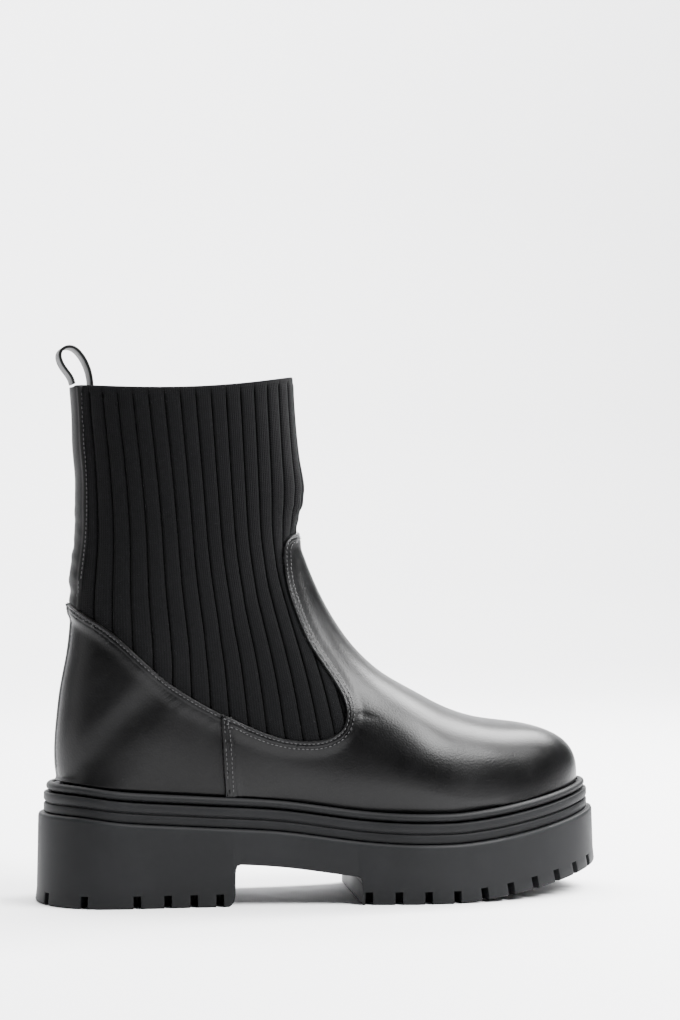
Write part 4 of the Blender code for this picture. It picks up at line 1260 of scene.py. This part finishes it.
def edge_profile(edge, thickness, fold):
    """Outer and inner push of a panel whose edge is folded and stitched."""
    ride = RIDE_OVER * (1 - smoothstep(edge, 0.002, RIDE_WIDTH))
    bead = fold * np.exp(-(((edge - 0.0007) / 0.0006) ** 2))
    dips = sum(ROW_DIP * np.exp(-(((edge - row) / 0.0004) ** 2)) for row in (ROW_NEAR, ROW_FAR))
    turn_down = np.sqrt(np.clip(1 - (1 - np.clip(edge / FOLD_ROUND, 0, 1)) ** 2, 0, 1))
    inner = GAP + ride * 0.85
    return inner + (thickness + bead - dips + ride * 0.15) * np.maximum(turn_down, 0.04), inner


EDGE_LEVELS = [0.0, 0.0001, 0.00025, 0.00045, FOLD_ROUND, 0.0012, ROW_NEAR, 0.0022]
EDGE_LEVELS += [ROW_FAR - 0.0005, ROW_FAR, ROW_FAR + 0.0005]


def wave(points, direction, length, phase=0.0):
    """Slow wave across a set of points."""
    return np.sin(2 * np.pi * (points @ np.asarray(direction, float)) / length + phase)


def ridge(value, middle, width):
    """Soft bump of height 1 where a value passes its middle."""
    return np.exp(-(((value - middle) / width) ** 2))


def crease(points, start, end, width, depth, reach):
    """Soft trough along a line between two places, fading past its ends."""
    start, end = np.asarray(start), np.asarray(end)
    axis = end - start
    length = np.linalg.norm(axis)
    along = (points - start) @ (axis / length)
    off = np.linalg.norm(points - start - np.outer(np.clip(along, 0, length), axis / length), axis=1)
    ends = 1 - np.clip(np.maximum(-along, along - length) / reach, 0, 1)
    fade = np.sin(np.pi * np.clip(along / length, 0.02, 0.98)) ** 0.6
    return -depth * np.exp(-((off / width) ** 2)) * ends * fade


# %% Counter
SEAM_LAP, BEHIND = 0.006, -0.05
COUNTER_SHEET, COUNTER_FOLD, PEAK_LIFT = 0.0015, 0.0004, 0.0010
RELAX_ROUNDS, RELAX_FROM = 45, 0.0045
free_edge = np.vstack([counter_line, gore_line[:24]])
lap_line = seam_line + np.array([SEAM_LAP, 0.0])
closing = np.vstack([free_edge, lap_line, [[BEHIND, seam_line[-1, 1]], [BEHIND, counter_line[0, 1]]]])
bm = cut_sheet(closing, lifted(free_edge), EDGE_LEVELS)
layer = bm.verts.layers.float["edge"]
relaxed = [v for v in bm.verts if v[layer] > RELAX_FROM and not v.is_boundary]
for _ in range(RELAX_ROUNDS):
    bmesh.ops.smooth_vert(bm, verts=relaxed, factor=0.5, use_axis_x=True, use_axis_y=True, use_axis_z=True)
bm.normal_update()
places, normals, edge = arrays(bm)
outer_push, inner_push = edge_profile(edge, COUNTER_SHEET, COUNTER_FOLD)
at_back = (places[:, 0] < 0.04) * ridge(places[:, 1], 0.0, 0.011)
peak = PEAK_LIFT * at_back * (1 - smoothstep(edge, 0.002, 0.010))
outer_push += peak
inner_push += peak
seam = np.abs(places[:, 1])
back_seam = 0.0005 * ridge(seam, 0.0, 0.0011) - 0.0003 * ridge(seam, 0.0023, 0.0007)
outer_push += back_seam * smoothstep(-normals[:, 0], 0.5, 0.9)
outer_push += 0.00012 * wave(places, (0.3, 0.8, 1.0), 0.034) * smoothstep(edge, 0.004, 0.012)
counter = piece("boot_counter", *thickened(bm, outer_push, inner_push), counter_leather)

# %% Vamp
VAMP_SHEET, VAMP_FOLD, AHEAD = 0.0019, 0.00025, SOLE_LENGTH + 0.02
CREASES = [
    # first place and last place in the side view, width, depth
    ((0.1505, 0.0930), (0.1660, 0.0890), 0.0014, 0.00022),
    ((0.1490, 0.0860), (0.1600, 0.0800), 0.0013, 0.00016),
]
toe_side = np.vstack([gore_line, [[AHEAD, gore_line[-1, 1]], [AHEAD, seam_foot[1]]], seam_line[::-1]])
bm = cut_sheet(toe_side, lifted(gore_line) + lifted(seam_line[1:]), EDGE_LEVELS)
places, normals, edge = arrays(bm)
outer_push, inner_push = edge_profile(edge, VAMP_SHEET, VAMP_FOLD)
lap = 1 - smoothstep(distance(places, lifted(seam_line)), SEAM_LAP * 0.8, SEAM_LAP * 2)
inner_push += 0.0013 * lap
outer_push += 0.0006 * lap
slow = 0.00016 * wave(places, (1.0, 0.5, 0.4), 0.046, 0.6)
slow += 0.00010 * wave(places, (0.4, -0.9, 0.8), 0.027, 1.9)
outer_push += slow * smoothstep(edge, 0.005, 0.014)
for outer in (False, True):
    for first, last, width, depth in CREASES:
        ends = on_side(np.array([first, last]), outer)
        outer_push += crease(places, *ends, width, depth, 0.004) * smoothstep(edge, 0.0050, 0.0085)
vamp = piece("boot_vamp", *thickened(bm, outer_push, inner_push), vamp_leather)

# %% [markdown]
# ## Ribbed knit shaft
# The shaft is one tube of rib knit. Its ribs run from the collar down behind the leather, so the grid
# of the tube follows them: one coordinate counts ribs round the leg, the other runs down each rib. A
# node tree then raises every rib from the same profile, with its groove and crown as named inputs.
# At the collar the cloth is folded inwards, so the grid starts inside, rolls over and goes down.

# %% Rib lines on the last
KNIT_GAP, KNIT_WALL = 0.0011, 0.0012
rim = last_points(float(LAST_ROW), np.linspace(-1, 0, 401))
rim_walk = walked_along(rim) / walked_along(rim)[-1]
rim_ends = [float(v) for v in section_ends(float(LAST_ROW))]
rim_share = (rim[:, 0] - rim_ends[0]) / (rim_ends[2] - rim_ends[0])
back_rows = np.linspace(HEEL_CORNER, LAST_ROW, 500)
back_ups = back_up(back_rows)
front_line = spline(column(RIB_FRONT, 0), column(RIB_FRONT, 1))
calm_front = spline(column(CALM_FRONT, 0), column(CALM_FRONT, 1))
front_rows = np.linspace(0, LAST_ROW, 500)
front_ups = top_up(front_rows)


def knit_places(walk, level, outer):
    """Points on the rib lines. Walk is 0 at the back and 1 at the front, level 0 at the collar."""
    share = np.interp(walk, rim_walk, rim_share)
    rim_x = rim_ends[0] + (rim_ends[2] - rim_ends[0]) * share
    rim_z = rim_ends[1] + (rim_ends[3] - rim_ends[1]) * share
    rim_up = (rim_z - seat(rim_x)) / UPPER_HEIGHT
    reach_up = np.interp(share, column(RIB_REACH, 0), column(RIB_REACH, 1))
    up = rim_up + (reach_up - rim_up) * level
    back_x, back_z = section_ends(np.interp(up, back_ups, back_rows))[:2]
    sway = RIB_SWAY * RIB_SWAY_PEAK * share * (1 - share) ** 2 * level
    front_along = calm_front(up) + (front_line(up) - calm_front(up)) * share**8
    along = (back_x * (1 - share) + sway) / SOLE_LENGTH + front_along * share
    x, z = side_point(along, up)
    row, at = locate(x, z)
    half = section_half(row, at, outer)
    places = np.stack([x, np.where(outer, -half, half), sagged(row, at, z)], -1)
    front = section_ends(np.interp(up, front_ups, front_rows))[2:]
    places = np.where((share > 0.9999)[..., None], np.stack([front[0], 0 * front[0], front[1]], -1), places)
    return np.where((share < 0.0001)[..., None], np.stack([back_x, 0 * back_x, back_z], -1), places)


RIB_PHASES = [0.0, 0.022, 0.045, 0.075, 0.12, 0.25, 0.50, 0.75, 0.88, 0.925, 0.955, 0.978]
KNIT_LEVELS = 74
half_ribs = RIB_COUNT // 2
walks = np.array([(rib + phase) / half_ribs for rib in range(half_ribs) for phase in RIB_PHASES])
ring_walk = np.concatenate([walks, [1.0], walks[:0:-1]])
ring_outer = np.concatenate([np.ones(len(walks) + 1, bool), np.zeros(len(walks) - 1, bool)])
levels = np.linspace(0, 1, KNIT_LEVELS) ** 1.05
grid = knit_places(*np.broadcast_arrays(ring_walk, levels[:, None], ring_outer))
print("knit grid", grid.shape)

# %% The knit's even normals, sag and folds
normal = np.cross(np.roll(grid, -3, axis=1) - np.roll(grid, 3, axis=1), np.gradient(grid, axis=0))
normal /= np.maximum(np.linalg.norm(normal, axis=-1, keepdims=True), 1e-12)
if ((grid - grid.mean(axis=1, keepdims=True)) * normal).sum() < 0:
    normal = -normal
flat = grid.reshape(-1, 3)
edge_3d = distance(flat, lifted(leather_line)).reshape(grid.shape[:2])
below = [[SOLE_LENGTH, leather_line[-1, 1]], [SOLE_LENGTH, 0.0], [BEHIND, 0.0], [BEHIND, leather_line[0, 1]]]
behind = inside(np.vstack([leather_line, below]), flat[:, 0], flat[:, 2]).reshape(grid.shape[:2])
edge_3d = np.where(behind, -edge_3d, edge_3d)
steps_down = np.linalg.norm(np.diff(grid, axis=0), axis=2)
length_down = np.concatenate([np.zeros((1, grid.shape[1])), np.cumsum(steps_down, axis=0)])
tuck = smoothstep(edge_3d, -0.001, 0.006)
height_up = grid[..., 2]
frontness = smoothstep(ring_walk, 0.74, 1.0)[None, :]
soft = 0.00016 * np.sin(height_up * 2 * np.pi / 0.047 + 2 * ring_walk[None, :])
soft *= smoothstep(edge_3d, 0.004, 0.03)
bulge = 0.0016 * frontness * ridge(height_up, 0.2035, 0.0105)
folds = 0.0004 * frontness * np.sin((height_up - 0.186) * 2 * np.pi / 0.0085)
folds *= ridge(height_up, 0.1935, 0.0075)
base_push = KNIT_GAP * (0.35 + 0.65 * tuck) + soft + bulge + folds
skin = grid + normal * base_push[..., None]

# %% Turned-in collar, as rows before the first one
TURN_IN = [
    # out, drop
    (-0.0012, 0.0060),
    (-0.0012, 0.0030),
    (-0.0011, 0.0012),
    (-0.0006, 0.0003),
    (0.0003, 0.0000),
    (0.0008, 0.0004),
]
inside_rows = []
for out, drop in TURN_IN:
    base = grid[0] + normal[0] * out
    base[:, 2] -= drop
    inside_rows.append(base)
skin = np.concatenate([np.array(inside_rows), skin[1:]])
turned = len(TURN_IN) - 1
skin_length = np.concatenate([np.full((turned, grid.shape[1]), -0.001), length_down])
skin_edge = np.concatenate([np.repeat(edge_3d[:1], turned, axis=0), edge_3d])
rib_normal = np.concatenate([np.repeat(normal[:1], turned, axis=0), normal])
rows, columns = skin.shape[:2]
print("knit skin", skin.shape)

# %% Mesh of the knit with its map
HIDDEN_REACH = 0.0035
keep = skin_edge > -HIDDEN_REACH
faces, corners = [], []
ribs_round = np.concatenate([ring_walk[: len(walks) + 1], 2 - ring_walk[len(walks) + 1 :]]) * half_ribs
for row in range(rows - 1):
    for col in range(columns):
        ahead = (col + 1) % columns
        loop = [(row, col), (row, ahead), (row + 1, ahead), (row + 1, col)]
        if any(keep[place] for place in loop):
            faces.append([r * columns + c for r, c in loop])
            for r, c in loop:
                ribs_here = ribs_round[c] if c or not col else float(RIB_COUNT)
                corners.append((ribs_here, skin_length[r, c] / COURSE))
knit_mesh = bpy.data.meshes.new("boot_knit_shaft")
knit_mesh.from_pydata((skin.reshape(-1, 3) - CENTRE).tolist(), [], faces)
knit_mesh.uv_layers.new(name="along_ribs").data.foreach_set("uv", np.array(corners).ravel())
for label, values in (
    ("rib", np.repeat(ribs_round[None, :], rows, axis=0)),
    ("raise", smoothstep(skin_length, 0.0030, 0.0044) * np.clip(skin_edge / 0.004 + 1, 0.15, 1)),
):
    knit_mesh.attributes.new(label, "FLOAT", "POINT").data.foreach_set("value", values.ravel())
knit_mesh.attributes.new("out", "FLOAT_VECTOR", "POINT").data.foreach_set("vector", rib_normal.ravel())
knit_shaft = in_scene("boot_knit_shaft", knit_mesh)

# %% Rib profile by Geometry Nodes
rib_tree, rib_in, rib_out = shape_tree(
    "rib_profile",
    [("Groove Depth", FLOAT, 0.0013), ("Shoulder", FLOAT, 0.2), ("Crown", FLOAT, 0.0003),
     ("Plain Height", FLOAT, 0.0010), ("Material", "NodeSocketMaterial", None)],
)
rib_attr, raise_attr = (named(rib_tree, label, "FLOAT") for label in ("rib", "raise"))
out_attr = named(rib_tree, "out", "FLOAT_VECTOR")
from_groove = math_node(rib_tree, "PINGPONG", (rib_attr, 0), 0.5)
on_shoulder = math_node(rib_tree, "DIVIDE", (from_groove, 0), (rib_in, 2), clamp=True)
missing = math_node(rib_tree, "SUBTRACT", 1.0, (on_shoulder, 0))
square = math_node(rib_tree, "POWER", (missing, 0), 2.4)
rounded_up = math_node(rib_tree, "SUBTRACT", 1.0, (square, 0))
shoulder = math_node(rib_tree, "POWER", (rounded_up, 0), 0.6)
crown = math_node(rib_tree, "SINE", (math_node(rib_tree, "MULTIPLY", (from_groove, 0), math.pi), 0))
raised = math_node(rib_tree, "MULTIPLY", (shoulder, 0), (rib_in, 1))
crowned = math_node(rib_tree, "MULTIPLY_ADD", (crown, 0), (rib_in, 3), (raised, 0))
faded = math_node(rib_tree, "MULTIPLY", (crowned, 0), (raise_attr, 0))
plain = math_node(rib_tree, "SUBTRACT", 1.0, (raise_attr, 0))
with_band = math_node(rib_tree, "MULTIPLY_ADD", (plain, 0), (rib_in, 4), (faded, 0))
offset = add_node(rib_tree, "ShaderNodeVectorMath", operation="SCALE")
link(rib_tree, out_attr, offset, 0, 0)
link(rib_tree, with_band, offset, 0, "Scale")
move = rib_tree.nodes.new("GeometryNodeSetPosition")
link(rib_tree, rib_in, move)
link(rib_tree, offset, move, 0, "Offset")
smooth = rib_tree.nodes.new("GeometryNodeSetShadeSmooth")
link(rib_tree, move, smooth)
finish_tree(rib_tree, rib_in, rib_out, smooth)
rib_values = {"Groove Depth": 0.0017, "Shoulder": 0.16, "Crown": 0.00030, "Plain Height": 0.0016}
grown(knit_shaft, rib_tree, {**rib_values, "Material": rib_knit})
bm = bmesh.new()
bm.from_mesh(knit_shaft.data)
bmesh.ops.delete(bm, geom=[v for v in bm.verts if not v.link_faces], context="VERTS")
face_out(bm)
bm.to_mesh(knit_shaft.data)
bm.free()
knit_shaft.data.shade_smooth()
print("knit shaft", len(knit_shaft.data.polygons), "faces")

# %% [markdown]
# ## Back stay and pull loop
# A strip of leather covers the knit's back and carries the loop. It is flat across, with small rolled
# edges, and it wrinkles sideways where the ankle bends. The loop is the same leather folded over a
# tape: its outer leg comes out of the stay's top and its inner leg is sewn inside the collar.

# %% Back stay
STAY_WIDTH, STAY_LEATHER, STAY_DROP, STAY_FIRST = 0.020, 0.0012, 0.0010, 13.6
stay_rows = spaced(STAY_FIRST, float(LAST_ROW), 0.0007)
stay_across = np.array([-1, -0.985, -0.96, -0.92, *np.linspace(-0.87, 0.87, 27), 0.92, 0.96, 0.985, 1])
low_x, low_z, top_x, top_z = section_ends(stay_rows)
widest = section_widths(stay_rows, low_x, np.ones(len(stay_rows), bool))[1]
sine = np.sqrt(np.clip(1 - (np.abs(stay_across)[None, :] * STAY_WIDTH / 2 / widest[:, None]) ** 2, 0, 1))
share = widest_at(stay_rows)[:, None] * (1 - sine)
progress = (stay_rows - STAY_FIRST) / (LAST_ROW - STAY_FIRST)
stay_x = low_x[:, None] + (top_x - low_x)[:, None] * share
stay_z = low_z[:, None] + (top_z - low_z)[:, None] * share - (STAY_DROP * progress)[:, None]
grid = np.stack([stay_x, np.broadcast_to(stay_across * STAY_WIDTH / 2, share.shape), stay_z], -1)
bm = sheet_from(grid)
if sum(f.normal.x for f in bm.faces) > 0:
    bmesh.ops.reverse_faces(bm, faces=bm.faces)
bm.normal_update()
places, normals, _ = arrays(bm)
side_edge = STAY_WIDTH / 2 - np.abs(places[:, 1])
rolled = np.sqrt(np.clip(1 - (1 - np.clip(side_edge / 0.0009, 0, 1)) ** 2, 0, 1))
low_part = 1 - smoothstep(places[:, 2], 0.165, 0.215)
wrinkle = wave(places, (0, 0.15, 1), 0.0112, 0.3) + 0.6 * wave(places, (0, -0.4, 1), 0.0071, 1.7)
relief = 0.00018 * wrinkle * low_part * smoothstep(side_edge, 0.001, 0.005)
relief += 0.0002 * wave(places, (0, 0, 1), 0.031)
relief += 0.0002 * ridge(side_edge, 0.001, 0.0008) - 0.0002 * ridge(side_edge, 0.0022, 0.0005)
under = 1 - smoothstep(places[:, 2], 0.1500, 0.1600)
inner = KNIT_GAP + KNIT_WALL + GAP + 0.0001 - 0.0010 * under
outer = inner + (STAY_LEATHER + 0.0004 + relief) * np.maximum(rolled, 0.04)
inner -= 0.0012 * (1 - smoothstep(side_edge, 0.0, 0.002))
stay = piece("boot_back_stay", *thickened(bm, outer, inner), stay_leather)

# %% Pull loop
LOOP_WIDTH, LOOP_STRAP, LOOP_ROUND = 0.018, 0.0015, 0.00055
loop_line = [(rim_ends[0] - back, rim_ends[1] + rise * LOOP_RISE) for back, rise in LOOP_PATH]
centre = np.array(smooth_path(loop_line, 90))
ahead = np.gradient(centre, axis=0)
ahead /= np.linalg.norm(ahead, axis=1, keepdims=True)
side = np.column_stack([-ahead[:, 1], ahead[:, 0]])
profile = []
for quarter, (across, out) in enumerate(((1, 1), (-1, 1), (-1, -1), (1, -1))):
    for angle in np.radians(90 * quarter + np.array([0, 30, 60, 90])):
        flat_way = across * (LOOP_WIDTH / 2 - LOOP_ROUND) + LOOP_ROUND * math.cos(angle)
        thick_way = out * (LOOP_STRAP / 2 - LOOP_ROUND) + LOOP_ROUND * math.sin(angle)
        profile.append((flat_way, thick_way))
points = []
for (x, z), (nx, nz) in zip(centre, side):
    points += [(x + nx * out, across, z + nz * out) for across, out in profile]
around = len(profile)
faces = []
for base in range(0, (len(centre) - 1) * around, around):
    for i in range(around):
        j = (i + 1) % around
        faces.append((base + i, base + j, base + around + j, base + around + i))
faces += [tuple(range(around)), tuple(range(len(points) - 1, len(points) - around - 1, -1))]
loop = outward(piece("boot_pull_loop", points, faces, stay_leather))

# %% [markdown]
# ## Stitches
# A lockstitch shows as short dashes of thread that sink into the leather at both ends. One small
# capsule is placed hundreds of times along each row by a node tree. The rows come from the same edges
# as the leather, moved inwards, and are laid on the finished leather so that they follow its folds.

# %% Rows of stitches laid on a piece
STITCH_PITCH, STITCH_LENGTH, THREAD_SIZE = 0.0022, 0.0016, 0.00050
NEARBY = 2e-4


def surface_tree(item):
    """Search tree of a finished piece."""
    mesh = item.data
    return BVHTree.FromPolygons([v.co[:] for v in mesh.vertices], [list(p.vertices) for p in mesh.polygons])


def outward_at(place, item_tree):
    """Outward normal of a piece near a point of the last, which lies inside its wall."""
    found, normal, _, _ = item_tree.find_nearest(place)
    return normal if (found - place).dot(normal) > 0 and (found - place).length > 1e-6 else -normal


def moved_in(path, distance_in):
    """Side-view path moved to the left of its direction."""
    ahead_dir = np.gradient(path, axis=0)
    ahead_dir /= np.linalg.norm(ahead_dir, axis=1, keepdims=True)
    return path + np.column_stack([-ahead_dir[:, 1], ahead_dir[:, 0]]) * distance_in


def even(path, pitch):
    """Places at an even pitch on a 3D path, and its directions there."""
    walked = walked_along(path)

    def places_at(lengths):
        return np.column_stack([np.interp(lengths, walked, path[:, axis]) for axis in range(3)])

    stops = np.arange(pitch / 2, walked[-1], pitch)
    direction = places_at(stops + NEARBY) - places_at(stops - NEARBY)
    return places_at(stops), direction / np.linalg.norm(direction, axis=1, keepdims=True)


stitch_rows = {"places": [], "tangents": [], "normals": []}


def sew(path, item_tree, reach=0.007):
    """Add a row of stitches along a 3D path, on the surface of a piece."""
    at, direction = even(np.asarray(path), STITCH_PITCH)
    for place, tangent in zip(at, direction):
        start = Vector(place - CENTRE)
        away = outward_at(start, item_tree)
        found, normal, _, gap = item_tree.ray_cast(start + away * reach, -away, reach)
        if found is None:
            continue
        stitch_rows["places"].append(np.array(found) + CENTRE)
        stitch_rows["tangents"].append(tangent)
        stitch_rows["normals"].append(np.array(normal))


vamp_tree, counter_tree, stay_tree = surface_tree(vamp), surface_tree(counter), surface_tree(stay)
for side in (True, False):
    for inset in (ROW_NEAR, ROW_FAR):
        sew(on_side(moved_in(gore_line, -inset)[8:-2], side), vamp_tree)
        row = moved_in(seam_line, inset)
        row = row[(row[:, 1] < gore_line[0, 1] - 0.003) & (row[:, 1] > seat(row[:, 0]) + 0.002)]
        sew(on_side(row, side), vamp_tree)
    sew(on_side(moved_in(counter_line, -ROW_NEAR), side), counter_tree)
BACK_ROWS = [
    # lowest, highest, steps, ahead of the back line, across, piece
    (0.066, 0.146, 200, 0.0005, 0.0023, counter_tree),
    (0.150, 0.252, 240, 0.0020, STAY_WIDTH / 2 - 0.0022, stay_tree),
]
for offset in (-1, 1):
    for lowest, highest, steps, ahead, across, item_tree in BACK_ROWS:
        heights = np.linspace(lowest, highest, steps)
        rows_at = np.interp((heights - seat(0.01)) / UPPER_HEIGHT, back_ups, back_rows)
        row_x = section_ends(rows_at)[0] + ahead
        sew(np.column_stack([row_x, np.full(steps, offset * across), heights]), item_tree)
print(len(stitch_rows["places"]), "stitches")

# %% Stitches by Geometry Nodes
stitch_tree, stitch_group_in, stitch_group_out = shape_tree(
    "stitch_row",
    [("Stitch Length", FLOAT, 0.0021), ("Thread Size", FLOAT, 0.0005),
     ("Material", "NodeSocketMaterial", None)],
)
capsule = add_node(stitch_tree, "GeometryNodeMeshUVSphere", {"Segments": 6, "Rings": 6, "Radius": 0.5})
shape = stitch_tree.nodes.new("ShaderNodeCombineXYZ")
for axis, label in enumerate(("Stitch Length", "Thread Size", "Thread Size")):
    link(stitch_tree, stitch_group_in, shape, label, axis)
stretched = stitch_tree.nodes.new("GeometryNodeTransform")
link(stitch_tree, capsule, stretched)
link(stitch_tree, shape, stretched, 0, "Scale")
softened = stitch_tree.nodes.new("GeometryNodeSetShadeSmooth")
link(stitch_tree, stretched, softened)
spread = placed_along(stitch_tree, stitch_group_in, softened)
finish_tree(stitch_tree, stitch_group_in, stitch_group_out, spread)
stitches = path_points("boot_stitches", *stitch_rows.values())
grown(stitches, stitch_tree, {"Stitch Length": STITCH_LENGTH, "Thread Size": THREAD_SIZE, "Material": thread})
print("stitches", len(stitches.data.polygons), "faces")

# %% [markdown]
# ## Put the pieces in the place of the plain solids
# Each fine piece stands for its solid, which stays hidden for collision. Everything is one body.

# %% Replace the solids
for item, node, slot_name in (
    (outsole, "outsole", "outsole_rubber"),
    (midsole, "midsole", "midsole_rubber"),
    (welt, "welt", "welt_rubber"),
    (insole, "insole", "insole_lining"),
    (lining, "upper", "upper_lining"),
    (counter, "counter", "counter_leather"),
    (vamp, "vamp", "vamp_leather"),
    (knit_shaft, "knit_shaft", "rib_knit"),
    (stay, "back_stay", "stay_leather"),
    (loop, "pull_loop", "loop_leather"),
    (stitches, None, "vamp_leather"),
):
    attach(item, "root")
    if node:
        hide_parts(node)

# %% [markdown]
# ## Studio
# A pale floor that curves up into a wall gives the even white ground, and one wide light serves that
# wall. Two soft lights above the toe, one on each side, draw the long grey highlights that show smooth
# leather. A light above and a weak one behind the heel keep the rest readable. The camera stands low
# and far away, as a product photographer's long lens does.

# %% Floor
backdrop_profile = [(-2.2, 0.0), (1.6, 0.0), (1.9, 0.02), (2.2, 0.12), (2.45, 0.35), (2.55, 0.7), (2.55, 3.0)]
floor_points = [(x, y, z) for y, z in backdrop_profile for x in (-3.0, 3.0)]
floor_faces = [(2 * i, 2 * i + 1, 2 * i + 3, 2 * i + 2) for i in range(len(backdrop_profile) - 1)]
floor_mesh = bpy.data.meshes.new("studio_floor")
floor_mesh.from_pydata(floor_points, [], floor_faces)
floor_mesh.shade_smooth()
paper = surface("studio_paper", (0.80, 0.80, 0.81, 1), Roughness=0.75)[0]
floor_mesh.materials.append(paper)
floor = in_scene("studio_floor", floor_mesh)


# %% Lights
def softbox(name, place, target, size, power):
    """Rectangular soft light that looks at a target."""
    lamp = bpy.data.lights.new(name, "AREA")
    lamp.shape = "RECTANGLE"
    lamp.size, lamp.size_y = size
    lamp.energy = power
    item = in_scene(name, lamp)
    item.location = place
    item.rotation_euler = (Vector(target) - Vector(place)).to_track_quat("-Z", "Y").to_euler()


softbox("key_light", (0.95, -0.75, 1.45), (0.02, 0, 0.08), (1.0, 0.9), 140)
softbox("side_light", (0.95, 0.50, 1.40), (0.02, 0, 0.08), (0.8, 0.8), 90)
softbox("top_light", (-0.35, 0.35, 2.0), (0, 0.15, 0.0), (1.5, 1.3), 55)
softbox("wall_light", (0.0, 1.0, 2.3), (0, 2.55, 0.6), (3.2, 0.8), 250)
softbox("heel_light", (-1.5, 0.1, 0.6), (0, 0, 0.12), (0.5, 1.2), 6)
world = bpy.data.worlds.new("studio_air")
bpy.context.scene.world = world
world.use_nodes = True
air = world.node_tree.nodes["Background"]
air.inputs["Color"].default_value = (0.90, 0.91, 0.93, 1)
air.inputs["Strength"].default_value = 0.05

# %% Camera
FOCAL_PIXELS, FRAME_LONG, HORIZON_DROP = 2640.0, 1020.0, 25.0
PHOTO_AZIMUTH, RECENTRE = -8.5, 160.0
CAMERA_PLACE, SENSOR_WIDTH = (-0.26728, -1.30585, 0.1807), 36.0
camera_data = bpy.data.cameras.new("product_camera")
camera_data.sensor_width = SENSOR_WIDTH
camera_data.lens = FOCAL_PIXELS / FRAME_LONG * SENSOR_WIDTH
camera_data.shift_y = HORIZON_DROP / FRAME_LONG
camera = in_scene("product_camera", camera_data)
camera.location = CAMERA_PLACE
turn = PHOTO_AZIMUTH - math.degrees(math.atan(RECENTRE / FOCAL_PIXELS))
camera.rotation_euler = (math.radians(90), 0, math.radians(turn))
bpy.context.scene.camera = camera
